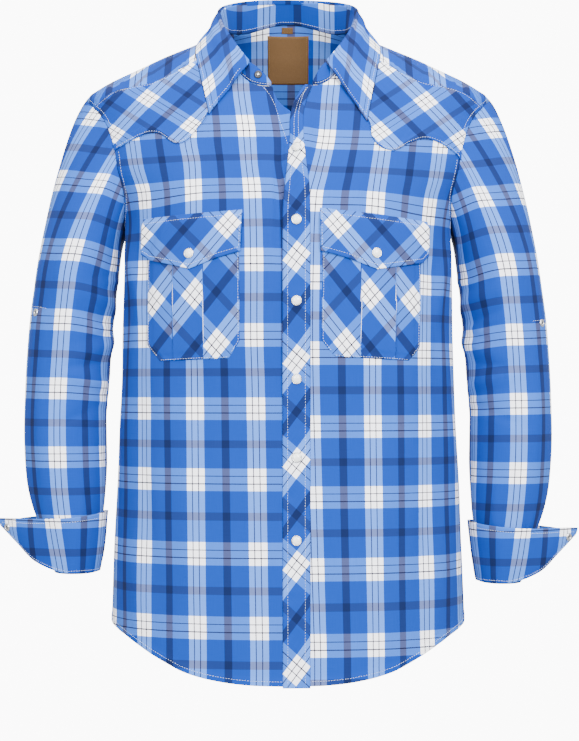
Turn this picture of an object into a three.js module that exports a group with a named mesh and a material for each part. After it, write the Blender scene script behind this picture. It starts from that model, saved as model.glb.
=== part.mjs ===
import * as THREE from 'three';

// A long-sleeved western snap shirt, filled out as if worn, with its neck open and its cuffs
// turned back. Millimetres, +Z up, the front faces -Y and the wearer's left is at +X. The
// origin is between the shoulders, level with the points where they meet the neck.

// Driving sizes
const clothWall = 1.5;         // one panel with its turned edges
const foldedWall = 2.6;        // a turned-back cuff, folded double
const labelWall = 1;
const seamGap = 0.3;           // clearance between pieces that are sewn edge to edge
const lieGap = 0.5;            // clearance under a piece that lies on a panel
const placketSeamInset = 4;    // the left front reaches this far under the placket
const placketOverhang = 2;     // the placket ends this far below the hem
const armholeTop = -64;
const armholeBottom = -215;
const armholeHalfDepth = 59;
const armholeCentreY = 4;
const underarmSpread = 0.12;   // how much deeper the armhole is low down
const sideSeam = Math.PI / 2;  // turn of the side seams round the body
const underarmShare = 0.68;    // share of a body panel's rows that lie below the armhole
const neckShare = 0.93;        // share of a front's rows that end at the open neck
const snapRadius = 5.9;
const ringSnapRadius = 4.6;

// Body sections: half width, y of the shoulder ridge and side seams, y of the front and the
// back at their centres, and the power of the superellipse that joins them.
const bodyRows = [
  { z: 48, half: 40, ridge: 14, front: 2, back: 64, power: 2 },
  { z: 36, half: 52, ridge: 12, front: 0, back: 72, power: 2 },
  { z: 18, half: 72, ridge: 10, front: -8, back: 81, power: 2 },
  { z: 5, half: 98, ridge: 9, front: -25, back: 87, power: 2 },
  { z: -3, half: 116, ridge: 9, front: -35, back: 90, power: 2 },
  { z: -17, half: 149, ridge: 8, front: -50, back: 95, power: 2 },
  { z: -29, half: 175, ridge: 8, front: -59, back: 98, power: 2 },
  { z: -40, half: 198, ridge: 7, front: -67, back: 101, power: 2 },
  { z: -52, half: 219, ridge: 6, front: -74, back: 104, power: 2.02 },
  { z: -64, half: 234, ridge: 5, front: -80, back: 106, power: 2.05 },
  { z: -90, half: 230, ridge: 4, front: -91, back: 110, power: 2.15 },
  { z: -120, half: 224, ridge: 3, front: -102, back: 114, power: 2.25 },
  { z: -150, half: 214, ridge: 2, front: -112, back: 117, power: 2.35 },
  { z: -182, half: 196, ridge: 1, front: -121, back: 119, power: 2.42 },
  { z: -215, half: 187, ridge: 0, front: -127, back: 119, power: 2.45 },
  { z: -272, half: 189, ridge: 0, front: -131, back: 114, power: 2.5 },
  { z: -340, half: 190.5, ridge: 0, front: -130, back: 108, power: 2.5 },
  { z: -412, half: 192.5, ridge: 0, front: -127, back: 104, power: 2.5 },
  { z: -528, half: 198, ridge: 0, front: -128, back: 107, power: 2.5 },
  { z: -650, half: 203, ridge: 0, front: -132, back: 114, power: 2.5 },
  { z: -748, half: 205, ridge: 0, front: -135, back: 119, power: 2.5 },
];

// Hem height against the turn round the body, in degrees from the front centre
const hemRows = [
  { turn: 0, z: -724 },
  { turn: 13, z: -722.5 },
  { turn: 23, z: -718 },
  { turn: 32, z: -710 },
  { turn: 38, z: -701 },
  { turn: 44, z: -692 },
  { turn: 50, z: -683 },
  { turn: 58, z: -674 },
  { turn: 72, z: -666 },
  { turn: 90, z: -663 },
  { turn: 104, z: -667 },
  { turn: 118, z: -682 },
  { turn: 132, z: -706 },
  { turn: 147, z: -728 },
  { turn: 162, z: -739 },
  { turn: 180, z: -742 },
];

// Neck seam on one side, from the front end round to the centre of the back
const neckRows = [
  { at: 0, x: 17, y: -78, z: -59.5 },
  { at: 0.09, x: 30, y: -76.6, z: -59 },
  { at: 0.18, x: 42, y: -73.7, z: -55 },
  { at: 0.27, x: 53, y: -67, z: -44 },
  { at: 0.36, x: 62, y: -52, z: -26 },
  { at: 0.46, x: 69, y: -26, z: -3 },
  { at: 0.53, x: 71.5, y: -8, z: 9.4 },
  { at: 0.6, x: 72, y: 10, z: 18 },
  { at: 0.7, x: 67.5, y: 33, z: 18.3 },
  { at: 0.8, x: 53, y: 54, z: 23.5 },
  { at: 0.9, x: 29, y: 67.5, z: 32 },
  { at: 1, x: 0, y: 72, z: 36 },
];
const neckAtYoke = 0.24;       // where the front yoke's lower seam leaves the neck seam
const neckAtShoulder = 0.47;   // where the shoulder seam leaves it
const leftFrontNeck = 0.065;   // where the placket side of the neck starts
const shoulderShare = 0.3;     // share of the back yoke's upper edge along one shoulder
const shoulderSteps = 6;
const neckSteps = 8;
const edgeEase = 0.05;         // share of a front's rows over which its edge meets the neck
const seamEaseStart = 0.15;    // shares of a yoke seam over which it meets neck and armhole
const seamEaseEnd = 0.2;

// Lower seams of the front yokes, from the neck to the armhole
const rightYokeRows = [
  { at: 0, x: 50, z: -47 },
  { at: 0.2, x: 83.6, z: -88 },
  { at: 0.3, x: 93, z: -97 },
  { at: 0.4, x: 101, z: -107.5 },
  { at: 0.5, x: 112.6, z: -121.5 },
  { at: 0.6, x: 126, z: -125 },
  { at: 0.72, x: 144, z: -113 },
  { at: 0.84, x: 163, z: -113.5 },
  { at: 1, x: 196, z: -129 },
];
const leftYokeRows = [
  { at: 0, x: 50, z: -47 },
  { at: 0.2, x: 86.6, z: -105 },
  { at: 0.3, x: 93.5, z: -117 },
  { at: 0.4, x: 102, z: -129 },
  { at: 0.5, x: 118.7, z: -133.5 },
  { at: 0.62, x: 136, z: -124 },
  { at: 0.74, x: 156, z: -118.5 },
  { at: 0.88, x: 182, z: -128 },
  { at: 1, x: 197, z: -140 },
];

// Shoulder seams, forward of the ridge, from the neck to the armhole
const shoulderRows = [
  { at: 0, x: 69.6, z: -1 },
  { at: 0.22, x: 105, z: -26 },
  { at: 0.4, x: 131, z: -42 },
  { at: 0.55, x: 155, z: -52.5 },
  { at: 0.7, x: 178, z: -56.5 },
  { at: 0.85, x: 201, z: -62 },
  { at: 1, x: 222, z: -76 },
];

// Lower seam of the back yoke, from the centre to the armhole
const backYokeRows = [
  { at: 0, x: 0, z: -160 },
  { at: 0.16, x: 30, z: -146 },
  { at: 0.34, x: 66, z: -127 },
  { at: 0.55, x: 106, z: -118 },
  { at: 0.78, x: 150, z: -124 },
  { at: 1, x: 193, z: -138 },
];

// Front opening: edges of the placket strip and the edge of the right front under it
const openingRows = [
  { z: -56, left: 20, right: 27.5, under: -19 },
  { z: -61, left: 17.6, right: 26.5, under: -16 },
  { z: -75, left: 8.6, right: 21.5, under: -7 },
  { z: -91, left: 3.4, right: 17.8, under: 3 },
  { z: -103, left: 1.8, right: 16.9, under: 6.8 },
  { z: -126, left: 1.6, right: 17.6, under: 11.6 },
  { z: -149, left: -0.6, right: 20, under: 15.2 },
  { z: -173, left: -3.4, right: 23.4, under: 18.8 },
  { z: -205, left: -5.8, right: 24.6, under: 20.1 },
  { z: -760, left: -5.8, right: 24.6, under: 20.1 },
];

// Collar on one side, from the centre of the back to the point: the fold along the top of
// the band, and in plan the outer edge, which rests on the body
const collarRows = [
  { at: 0, foldX: 0, foldY: 58, foldZ: 61, edgeX: 0, edgeY: 84 },
  { at: 0.17, foldX: 38, foldY: 51, foldZ: 59, edgeX: 43, edgeY: 76 },
  { at: 0.34, foldX: 66, foldY: 31, foldZ: 52, edgeX: 79, edgeY: 50 },
  { at: 0.5, foldX: 79, foldY: 4, foldZ: 40, edgeX: 100, edgeY: 12 },
  { at: 0.66, foldX: 75, foldY: -22, foldZ: 19, edgeX: 106, edgeY: -27 },
  { at: 0.83, foldX: 61, foldY: -49, foldZ: -6, edgeX: 99, edgeY: -62 },
  { at: 1, foldX: 43, foldY: -71, foldZ: -32, edgeX: 88.5, edgeY: -86.2 },
];

// The fall's section from its inner edge over the fold and down: share of the way to the outer
// edge, how far out from the neck and how far up
const fallTop = [
  { share: 0, out: -0.9, lift: 2.3 },
  { share: 0, out: 1.8, lift: 1.6 },
  { share: 0.03, out: 3.4, lift: -1 },
];
const fallQuarter = { share: 0.22, out: 3.2, lift: 0, toMiddle: 0.12 };
const fallMiddle = { share: 0.5, lift: 2.4 };
const fallLow = { share: 0.78, lift: 1.6 };
const leftPointForward = 3.2;  // the left collar point lies further down the front
const collarEase = 1.2;        // how far the collar's edge stands off the body
const collarFrom = -112;       // a height inside the body under the whole collar
const bandEndLength = 0.14;    // the band's share past the collar, at each end
const bandEndDrop = 0.82;      // how much of its height the band loses at its rounded end

// Sleeve sections below the cap: outermost and innermost x, centre and half depth in y
const sleeveRows = [
  { z: -272, outer: 292, inner: 197, y: -2, depth: 69 },
  { z: -320, outer: 298, inner: 202.5, y: -4, depth: 66 },
  { z: -366, outer: 301.5, inner: 205.5, y: -7, depth: 63 },
  { z: -412, outer: 303, inner: 209, y: -10, depth: 60 },
  { z: -458, outer: 303, inner: 209.5, y: -13, depth: 57 },
  { z: -504, outer: 299.5, inner: 210, y: -16, depth: 53 },
  { z: -530, outer: 294, inner: 211.5, y: -17, depth: 51 },
  { z: -550, outer: 287, inner: 214, y: -18, depth: 49 },
  { z: -580, outer: 276, inner: 216.5, y: -18, depth: 46 },
  { z: -608, outer: 268, inner: 219, y: -18, depth: 44 },
];
const sleevePower = 2.15;

// How a sleeve leaves the armhole and arrives at its first full section: direction outwards
// and down, and how far it runs that way. The first row is over the shoulder, the last one
// under the arm.
const capRuns = [
  { at: 0, out: 0.65, down: 0.76, leave: 100, arrive: 230 },
  { at: 1, out: 0.38, down: 0.92, leave: 58, arrive: 58 },
];
const arriveOut = 0.15;
const leftSleeveDrop = 11;     // the left sleeve and cuff end this much lower
const cuffFootRise = 1;        // the folded foot of a cuff is this much above the sleeve's end
const dropFrom = -440;

// Turned-back cuffs, from the front end round the inside of the arm to the back end. The
// bottom of a row with a round angle sits on the sleeve's end at that angle.
const cuffRows = [
  { at: 0, x: 333, y: -22, top: -547, bottomX: 330, bottomY: -22, bottom: -556 },
  { at: 0.07, x: 313, y: -40, top: -546, bottomX: 309, bottomY: -38, bottom: -575 },
  { at: 0.15, x: 290, y: -56, top: -546, bottomX: 286, bottomY: -52, bottom: -595 },
  { at: 0.25, x: 262, y: -71, top: -545, round: 72 },
  { at: 0.33, x: 238, y: -72, top: -543, round: 102 },
  { at: 0.41, x: 219, y: -56, top: -541, round: 136 },
  { at: 0.48, x: 208, y: -32, top: -539, round: 165 },
  { at: 0.55, x: 208, y: -4, top: -539, round: 195 },
  { at: 0.62, x: 219, y: 22, top: -541, round: 224 },
  { at: 0.7, x: 238, y: 37, top: -543, round: 258 },
  { at: 0.78, x: 262, y: 36, top: -545, round: 288 },
  { at: 0.87, x: 290, y: 22, top: -547, bottomX: 285, bottomY: 20, bottom: -597 },
  { at: 0.94, x: 312, y: 6, top: -549, bottomX: 307, bottomY: 5, bottom: -579 },
  { at: 1, x: 326, y: -8, top: -552, bottomX: 323, bottomY: -8, bottom: -563 },
];

// Pockets and flaps: corners on the front, seen square on, x from the centre outwards
const rightPocket = {
  flap: { innerTop: [50, -202], outerTop: [161, -213], outerSide: [163, -249], point: [108.5, -267],
    innerSide: [52, -248] },
  bag: { innerTop: [53.5, -214], outerTop: [156.5, -221], outerLow: [156, -350],
    outerFoot: [141.5, -368], innerFoot: [65, -365], innerLow: [53, -346] },
  pleats: [128.5, 93],
};
const leftPocket = {
  flap: { innerTop: [35, -200], outerTop: [155.5, -215.5], outerSide: [155.5, -252.5],
    point: [97.5, -268], innerSide: [35.5, -248.5] },
  bag: { innerTop: [38, -212], outerTop: [148, -221], outerLow: [145.5, -353],
    outerFoot: [133, -367.5], innerFoot: [51, -363], innerLow: [37, -345] },
  pleats: [80, 118],
};
const flapDip = 5;             // how far the flap's lower edges bow in beside its point
const pleatRise = 1.4;
const pleatHalf = 6;
// How much a pleat dies away towards the foot, and what the flap shows of it
const pleatFade = 0.3;
const flapPleatRise = 0.3;
const flapPleatHalf = 2 * pleatHalf;
// Shares of the height at which the pocket's and the placket's sections lie
const bagHeights = [0, 0.115, 0.3, 0.5, 0.7, 0.86, 1];
const placketHeights = [0, 0.05, 0.13, 0.21, 0.29, 0.37, 0.45, 0.53, 0.61, 0.68, 0.74, 0.79, 0.83,
  0.865, 0.895, 0.925, 0.95, 0.975, 1];
// Columns across a pocket and its flap, rows down the flap, and columns across the placket
const pocketColumns = 14;
const flapRows = 4;
const placketColumns = 3;

// Snaps on the placket, from the neck down
const placketSnaps = [
  { x: 9.5, z: -132 },
  { x: 9.4, z: -213 },
  { x: 9.4, z: -302 },
  { x: 9.4, z: -388 },
  { x: 9.4, z: -474 },
  { x: 9.4, z: -565 },
];
// The other snaps, each on the piece that carries it, by the wearer's side
const flapSnaps = { '-1': { x: -109, z: -249.5 }, 1: { x: 97.5, z: -249.5 } };
const tabSnaps = { '-1': { x: -286, z: -312 }, 1: { x: 288, z: -324 } };
const cuffSnaps = { '-1': { x: -321, z: -557 }, 1: { x: 321, z: -568 } };
const neckSnap = { x: -33.5, z: -46 };
// Share of a snap's reach at which it is seated on the cloth around its middle
const snapSeat = 0.8;
// Ratio of a face's diagonals under which it counts as skewed
const skewed = 0.6;

// Patches inside the back yoke, below the neck seam
const neckLabel = { halfWidth: 24.5, centre: 0, low: -31, high: 23.5, rows: 5 };
const sizeTab = { halfWidth: 6.7, centre: -1, low: 26.5, high: 33.5, rows: 2 };

// Large soft folds of the body: where they are, their half width along the girth and half
// length along their run, how far they lean, and how far they stand out
const bodyFolds = [
  { x: 16, z: -128, face: -1, wide: 15, long: 62, lean: 0, rise: 8 },
  { x: 176, z: -268, face: -1, wide: 8, long: 56, lean: 0.2, rise: 4 },
  { x: -176, z: -264, face: -1, wide: 8, long: 58, lean: -0.2, rise: 4 },
  { x: 178, z: -420, face: -1, wide: 12, long: 110, lean: -0.05, rise: 3 },
  { x: -180, z: -405, face: -1, wide: 12, long: 120, lean: 0.04, rise: 3 },
  { x: 120, z: -470, face: -1, wide: 18, long: 120, lean: 0.1, rise: 2.2 },
  { x: -118, z: -500, face: -1, wide: 18, long: 130, lean: -0.08, rise: 2.2 },
  { x: 172, z: -600, face: -1, wide: 14, long: 70, lean: 0.05, rise: 2.5 },
  { x: -170, z: -610, face: -1, wide: 14, long: 66, lean: -0.05, rise: 2.5 },
  { x: 150, z: -330, face: 1, wide: 14, long: 130, lean: 0.12, rise: 4 },
  { x: -146, z: -345, face: 1, wide: 14, long: 120, lean: -0.1, rise: 4 },
  { x: 70, z: -470, face: 1, wide: 20, long: 140, lean: 0.04, rise: 3.5 },
  { x: -62, z: -440, face: 1, wide: 20, long: 150, lean: -0.05, rise: 3.5 },
  { x: 4, z: -560, face: 1, wide: 18, long: 110, lean: 0.02, rise: 3 },
];

// Large soft folds of a sleeve: angle round it, height, half sizes, slope and rise
const sleeveFolds = [
  { round: 150, z: -300, wide: 46, long: 11, slope: -0.25, rise: 3.2 },
  { round: 165, z: -348, wide: 52, long: 11, slope: 0.18, rise: 3.4 },
  { round: 140, z: -392, wide: 44, long: 10, slope: -0.2, rise: 3 },
  { round: 80, z: -232, wide: 16, long: 60, slope: 1.2, rise: 3 },
  { round: 260, z: -330, wide: 50, long: 12, slope: 0.3, rise: 3.2 },
  { round: 245, z: -395, wide: 46, long: 12, slope: -0.2, rise: 3 },
  { round: 60, z: -440, wide: 14, long: 58, slope: -0.5, rise: 2.6 },
  { round: 285, z: -470, wide: 14, long: 60, slope: 0.4, rise: 2.6 },
];

const degrees = Math.PI / 180;
const lerp = (a, b, t) => a + (b - a) * t;
const clamp = (value, low, high) => Math.min(high, Math.max(low, value));

// A smooth curve through a table: every column at a value of its key column
function rowAt(rows, key, value) {
  const rising = rows[rows.length - 1][key] > rows[0][key];
  const sign = rising ? 1 : -1;
  let i = 0;
  while (i < rows.length - 2 && sign * value > sign * rows[i + 1][key]) i += 1;
  const before = rows[Math.max(0, i - 1)];
  const from = rows[i];
  const to = rows[i + 1];
  const after = rows[Math.min(rows.length - 1, i + 2)];
  const span = to[key] - from[key];
  const t = clamp((value - from[key]) / span, 0, 1);
  const result = {};
  for (const column of Object.keys(from)) {
    const slopeFrom = ((to[column] - before[column]) / (to[key] - before[key])) * span;
    const slopeTo = ((after[column] - from[column]) / (after[key] - from[key])) * span;
    result[column] = (2 * t ** 3 - 3 * t ** 2 + 1) * from[column]
      + (t ** 3 - 2 * t ** 2 + t) * slopeFrom
      + (3 * t ** 2 - 2 * t ** 3) * to[column]
      + (t ** 3 - t ** 2) * slopeTo;
  }
  return result;
}

// A point of the body's plain surface, by turn: 0 at the front centre, 90 degrees at the
// wearer's left side, 180 at the back
function bodyAt(turn, z) {
  const row = rowAt(bodyRows, 'z', z);
  const sine = Math.sin(turn);
  const cosine = Math.cos(turn);
  const scale = (Math.abs(sine) ** row.power + Math.abs(cosine) ** row.power) ** (-1 / row.power);
  const depth = cosine > 0 ? row.ridge - row.front : row.back - row.ridge;
  return new THREE.Vector3(row.half * scale * sine, row.ridge - depth * scale * cosine, z);
}

// The turn of a point seen square on from the front (face -1) or from the back (face 1)
function turnAt(x, z, face) {
  const row = rowAt(bodyRows, 'z', z);
  const across = clamp(x / row.half, -1, 1);
  const ahead = (1 - Math.abs(across) ** row.power) ** (1 / row.power);
  return Math.atan2(across, face < 0 ? ahead : -ahead);
}

const bodyAtX = (x, z, face) => bodyAt(turnAt(x, z, face), z);

// How far a point is outside the body's plain surface, negative inside
function bodyExcess(point) {
  const row = rowAt(bodyRows, 'z', point.z);
  const depth = point.y < row.ridge ? row.ridge - row.front : row.back - row.ridge;
  const across = Math.abs(point.x) / row.half;
  const ahead = Math.abs(point.y - row.ridge) / depth;
  const above = Math.max(0, point.z - bodyRows[0].z);
  return (across ** row.power + ahead ** row.power) ** (1 / row.power) - 1 + above;
}

function bodyNormal(point) {
  const step = 0.4;
  const slope = (axis) => {
    const high = point.clone();
    const low = point.clone();
    high[axis] += step;
    low[axis] -= step;
    return bodyExcess(high) - bodyExcess(low);
  };
  return new THREE.Vector3(slope('x'), slope('y'), slope('z')).normalize();
}

// Follows the line from a point inside the body through another one to its surface
function throwOut(inside, through) {
  const ray = through.clone().sub(inside);
  let near = 0;
  let far = 4;
  for (let i = 0; i < 40; i += 1) {
    const middle = (near + far) / 2;
    if (bodyExcess(inside.clone().addScaledVector(ray, middle)) > 0) far = middle;
    else near = middle;
  }
  return inside.clone().addScaledVector(ray, near);
}

function foldRise(point) {
  let rise = 0;
  for (const fold of bodyFolds) {
    if ((point.y > 0) !== (fold.face > 0)) continue;
    const along = (point.z - fold.z) / fold.long;
    const centre = fold.x + fold.lean * (point.z - fold.z);
    const aside = (point.x - centre) / fold.wide;
    rise += fold.rise * Math.exp(-aside * aside) * Math.exp(-along * along);
  }
  const nearSide = clamp(Math.abs(point.y) / 40, 0, 1);
  return rise * nearSide;
}

// The body's surface with its folds, moved out by a lift
function clothPoint(base, lift) {
  return base.clone().addScaledVector(bodyNormal(base), foldRise(base) + lift);
}

function armholeAngleAt(z) {
  const middle = (armholeTop + armholeBottom) / 2;
  return Math.acos(clamp((z - middle) / (armholeTop - middle), -1, 1));
}

// The armhole seam: 0 at the shoulder, 90 degrees in front, 180 under the arm
function armholeAt(side, angle) {
  const middle = (armholeTop + armholeBottom) / 2;
  const z = middle + (armholeTop - middle) * Math.cos(angle);
  const spread = 1 - underarmSpread * Math.cos(angle);
  const ahead = armholeHalfDepth * spread * Math.sin(angle);
  const row = rowAt(bodyRows, 'z', z);
  const y = armholeCentreY * (1 + Math.cos(angle)) / 2 - ahead;
  const depth = y < row.ridge ? row.ridge - row.front : row.back - row.ridge;
  const share = clamp(Math.abs(y - row.ridge) / depth, 0, 1);
  const across = (1 - share ** row.power) ** (1 / row.power);
  return new THREE.Vector3(side * row.half * across, y, z);
}

// Points deep inside the body from which its upper pieces are thrown out. Each lies under
// the point it serves, drawn in to a share of its x.
const deepUnder = {
  neck: { share: 0.4, y: 10, z: -120 },
  frontYoke: { share: 0.85, y: 10, z: -150 },
  backYoke: { share: 0.78, y: 14, z: -185 },
  collar: { share: 0.6, y: 20, z: -120 },
};
const under = (place, x) => new THREE.Vector3(x * place.share, place.y, place.z);

const neckPoint = (side, at) => {
  const row = rowAt(neckRows, 'at', at);
  const x = side * row.x;
  return throwOut(under(deepUnder.neck, x), new THREE.Vector3(x, row.y, row.z));
};

// A closed wall between an outer and an inner grid of points. Rows run up the piece and
// columns run round it, anticlockwise seen from above.
function wallBetween(outer, inner, closesRound = false) {
  const rows = outer.length;
  const columns = outer[0].length;
  const spans = closesRound ? columns : columns - 1;
  const positions = [];
  for (const grid of [outer, inner]) {
    for (const row of grid) {
      for (const point of row) positions.push(point.x, point.y, point.z);
    }
  }
  const out = (i, j) => i * columns + (j % columns);
  const within = (i, j) => rows * columns + out(i, j);
  const faces = [];
  const quad = (a, b, c, d, crossed = false) => {
    if (crossed) faces.push(a, b, d, b, c, d);
    else faces.push(a, b, c, a, c, d);
  };
  // A skewed face is split along its outer side's shorter diagonal, the same one on both sides
  const apart = (i, j, k, l) => outer[i][j % columns].distanceTo(outer[k][l % columns]);
  for (let i = 0; i < rows - 1; i += 1) {
    for (let j = 0; j < spans; j += 1) {
      const crossed = apart(i, j + 1, i + 1, j) < skewed * apart(i, j, i + 1, j + 1);
      quad(out(i, j), out(i, j + 1), out(i + 1, j + 1), out(i + 1, j), crossed);
      quad(within(i, j), within(i + 1, j), within(i + 1, j + 1), within(i, j + 1), crossed);
    }
    if (!closesRound) {
      quad(within(i, 0), out(i, 0), out(i + 1, 0), within(i + 1, 0));
      quad(out(i, spans), within(i, spans), within(i + 1, spans), out(i + 1, spans));
    }
  }
  const top = rows - 1;
  for (let j = 0; j < spans; j += 1) {
    quad(within(0, j), within(0, j + 1), out(0, j + 1), out(0, j));
    quad(out(top, j), out(top, j + 1), within(top, j + 1), within(top, j));
  }
  const geometry = new THREE.BufferGeometry();
  geometry.setAttribute('position', new THREE.Float32BufferAttribute(positions, 3));
  geometry.setIndex(faces);
  geometry.computeVertexNormals();
  return geometry;
}

// Draws the outermost rows and columns in, so that neighbours along a seam stay apart
function drawnIn(grid, sides) {
  const moved = grid.map((row) => row.map((point) => point.clone()));
  const last = grid.length - 1;
  const end = grid[0].length - 1;
  const pull = (i, j, towardI, towardJ) => {
    const toward = grid[towardI][towardJ].clone().sub(grid[i][j]).setLength(seamGap / 2);
    moved[i][j].add(toward);
  };
  for (let j = 0; j <= end; j += 1) {
    if (sides.includes('bottom')) pull(0, j, 1, j);
    if (sides.includes('top')) pull(last, j, last - 1, j);
  }
  for (let i = 0; i <= last; i += 1) {
    if (sides.includes('start')) pull(i, 0, i, 1);
    if (sides.includes('end')) pull(i, end, i, end - 1);
  }
  return moved;
}

const steps = (count) => Array.from({ length: count + 1 }, (_, i) => i / count);

// A wall of cloth on the body: base(u, v) gives points of the body's plain surface
function bodyWall(base, columns, rows, sides, lift = 0) {
  const bases = rows.map((v) => columns.map((u) => base(u, v)));
  const outer = bases.map((row) => row.map((point) => clothPoint(point, lift)));
  const inner = bases.map((row) => row.map((point) => clothPoint(point, lift - clothWall)));
  return wallBetween(drawnIn(outer, sides), drawnIn(inner, sides));
}

// A free wall of cloth: its thickness is laid inside the grid, square to it
function gridNormals(grid, closesRound) {
  const last = grid.length - 1;
  const count = grid[0].length;
  return grid.map((row, i) => row.map((_, j) => {
    const before = closesRound ? (j + count - 1) % count : Math.max(0, j - 1);
    const after = closesRound ? (j + 1) % count : Math.min(count - 1, j + 1);
    const across = grid[i][after].clone().sub(grid[i][before]);
    const along = grid[Math.min(last, i + 1)][j].clone().sub(grid[Math.max(0, i - 1)][j]);
    return across.cross(along).normalize();
  }));
}

function freeWall(outer, wall, closesRound = false) {
  const normals = gridNormals(outer, closesRound);
  const inner = outer.map((row, i) => row.map((point, j) => point.clone()
    .addScaledVector(normals[i][j], -wall)));
  return wallBetween(outer, inner, closesRound);
}

// Blends four edges into a patch. Each edge gives an array of coordinates.
function blendEdges(bottom, top, start, end) {
  return (u, v) => {
    const low = bottom(u);
    const high = top(u);
    const left = start(v);
    const right = end(v);
    return low.map((_, k) => lerp(low[k], high[k], v) + lerp(left[k], right[k], u)
      - lerp(lerp(bottom(0)[k], bottom(1)[k], u), lerp(top(0)[k], top(1)[k], u), v));
  };
}

const hemHeight = (turn) => rowAt(hemRows, 'turn', Math.abs(turn) / degrees).z;

const turnOf = (point) => {
  const row = rowAt(bodyRows, 'z', point.z);
  const depth = point.y < row.ridge ? row.ridge - row.front : row.back - row.ridge;
  return Math.atan2(point.x / row.half, (row.ridge - point.y) / depth);
};

const yokeRowsOf = (side) => (side < 0 ? rightYokeRows : leftYokeRows);

// The front yoke's lower seam ends on the armhole
function yokeSeamPoint(side, at) {
  const rows = yokeRowsOf(side);
  const row = rowAt(rows, 'at', at);
  const end = armholeAt(side, armholeAngleAt(rows[rows.length - 1].z));
  const start = neckPoint(side, neckAtYoke);
  const point = bodyAtX(side * row.x, row.z, -1);
  const nearEnd = Math.max(0, (at - 1 + seamEaseEnd) / seamEaseEnd) ** 2;
  const nearStart = Math.max(0, 1 - at / seamEaseStart) ** 2;
  if (at === 0) return start;
  if (at === 1) return end;
  const z = lerp(lerp(point.z, end.z, nearEnd), start.z, nearStart);
  const x = lerp(lerp(point.x, end.x, nearEnd), start.x, nearStart);
  return bodyAtX(x, z, -1);
}

const frontColumns = steps(12);
const panelRows = [0, 0.012, 0.07, 0.14, 0.21, 0.28, 0.35, 0.42, 0.48, 0.54, 0.59, 0.64,
  underarmShare, 0.73, 0.78, 0.83, 0.88, neckShare, 1];

// Edge of a front at the opening, up to the neck and then along the neck seam
function frontEdge(side, v) {
  const neckStart = side < 0 ? 0 : leftFrontNeck;
  if (v > neckShare) {
    const along = (v - neckShare) / (1 - neckShare);
    const point = neckPoint(side, lerp(neckStart, neckAtYoke, along));
    return [turnOf(point), point.z];
  }
  const corner = neckPoint(side, neckStart);
  const z = v < underarmShare
    ? lerp(hemRows[0].z, armholeBottom, v / underarmShare)
    : lerp(armholeBottom, corner.z, (v - underarmShare) / (neckShare - underarmShare));
  const row = rowAt(openingRows, 'z', z);
  const x = side < 0 ? row.under : row.right - placketSeamInset;
  const toCorner = Math.max(0, (v - neckShare + edgeEase) / edgeEase);
  return [turnAt(lerp(x, corner.x, toCorner), z, -1), z];
}

// Side seam from the hem to the armhole, then up the armhole
function panelSide(side, v, face, angleTop) {
  if (v <= underarmShare) {
    const z = lerp(hemHeight(sideSeam), armholeBottom, v / underarmShare);
    return [side * sideSeam, z];
  }
  const climb = (v - underarmShare) / (1 - underarmShare);
  const angle = lerp(Math.PI, angleTop, climb);
  const point = armholeAt(side, face < 0 ? angle : 2 * Math.PI - angle);
  return [turnOf(point), point.z];
}

function frontPanel(side) {
  const rows = yokeRowsOf(side);
  const angleTop = armholeAngleAt(rows[rows.length - 1].z);
  const edgeTurn = frontEdge(side, 0)[0];
  const hem = (u) => {
    const turn = lerp(edgeTurn, side * sideSeam, u);
    return [turn, hemHeight(turn)];
  };
  const seam = (u) => {
    const point = yokeSeamPoint(side, u);
    return [turnOf(point), point.z];
  };
  const patch = blendEdges(hem, seam, (v) => frontEdge(side, v),
    (v) => panelSide(side, v, -1, angleTop));
  const base = (u, v) => {
    const [turn, z] = patch(u, v);
    return bodyAt(turn, z);
  };
  const columns = side > 0 ? frontColumns : [...frontColumns].reverse();
  return bodyWall(base, columns, panelRows, ['top', 'start', 'end']);
}

// The shoulder seam ends on the neck seam and on the armhole
function shoulderPoint(side, at) {
  if (at === 0) return neckPoint(side, neckAtShoulder);
  const row = rowAt(shoulderRows, 'at', at);
  if (at === 1) return armholeAt(side, armholeAngleAt(shoulderRows[shoulderRows.length - 1].z));
  return bodyAtX(side * row.x, row.z, -1);
}

function frontYoke(side) {
  const rows = yokeRowsOf(side);
  const lowAngle = armholeAngleAt(rows[rows.length - 1].z);
  const highAngle = armholeAngleAt(shoulderRows[shoulderRows.length - 1].z);
  const flat = (point) => [point.x, point.y, point.z];
  const patch = blendEdges(
    (u) => flat(yokeSeamPoint(side, u)),
    (u) => flat(shoulderPoint(side, u)),
    (v) => flat(neckPoint(side, lerp(neckAtYoke, neckAtShoulder, v))),
    (v) => flat(armholeAt(side, lerp(lowAngle, highAngle, v))),
  );
  const base = (u, v) => {
    const point = new THREE.Vector3(...patch(u, v));
    if (u === 0 || u === 1 || v === 0 || v === 1) return point;
    return throwOut(under(deepUnder.frontYoke, point.x), point);
  };
  const columns = side > 0 ? frontColumns : [...frontColumns].reverse();
  return bodyWall(base, columns, steps(6), ['bottom', 'top', 'start', 'end']);
}

// Columns of the back pieces: those over the shoulders, then closer ones round the neck
const backHalf = [...steps(shoulderSteps).map((t) => t * shoulderShare),
  ...steps(neckSteps).slice(1).map((t) => lerp(shoulderShare, 0.5, t))];
const backColumns = [...backHalf, ...backHalf.slice(0, -1).reverse().map((u) => 1 - u)];
const backRows = [0, 0.012, 0.09, 0.18, 0.27, 0.36, 0.44, 0.52, 0.6, underarmShare, 0.76, 0.84,
  0.92, 1];

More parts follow.
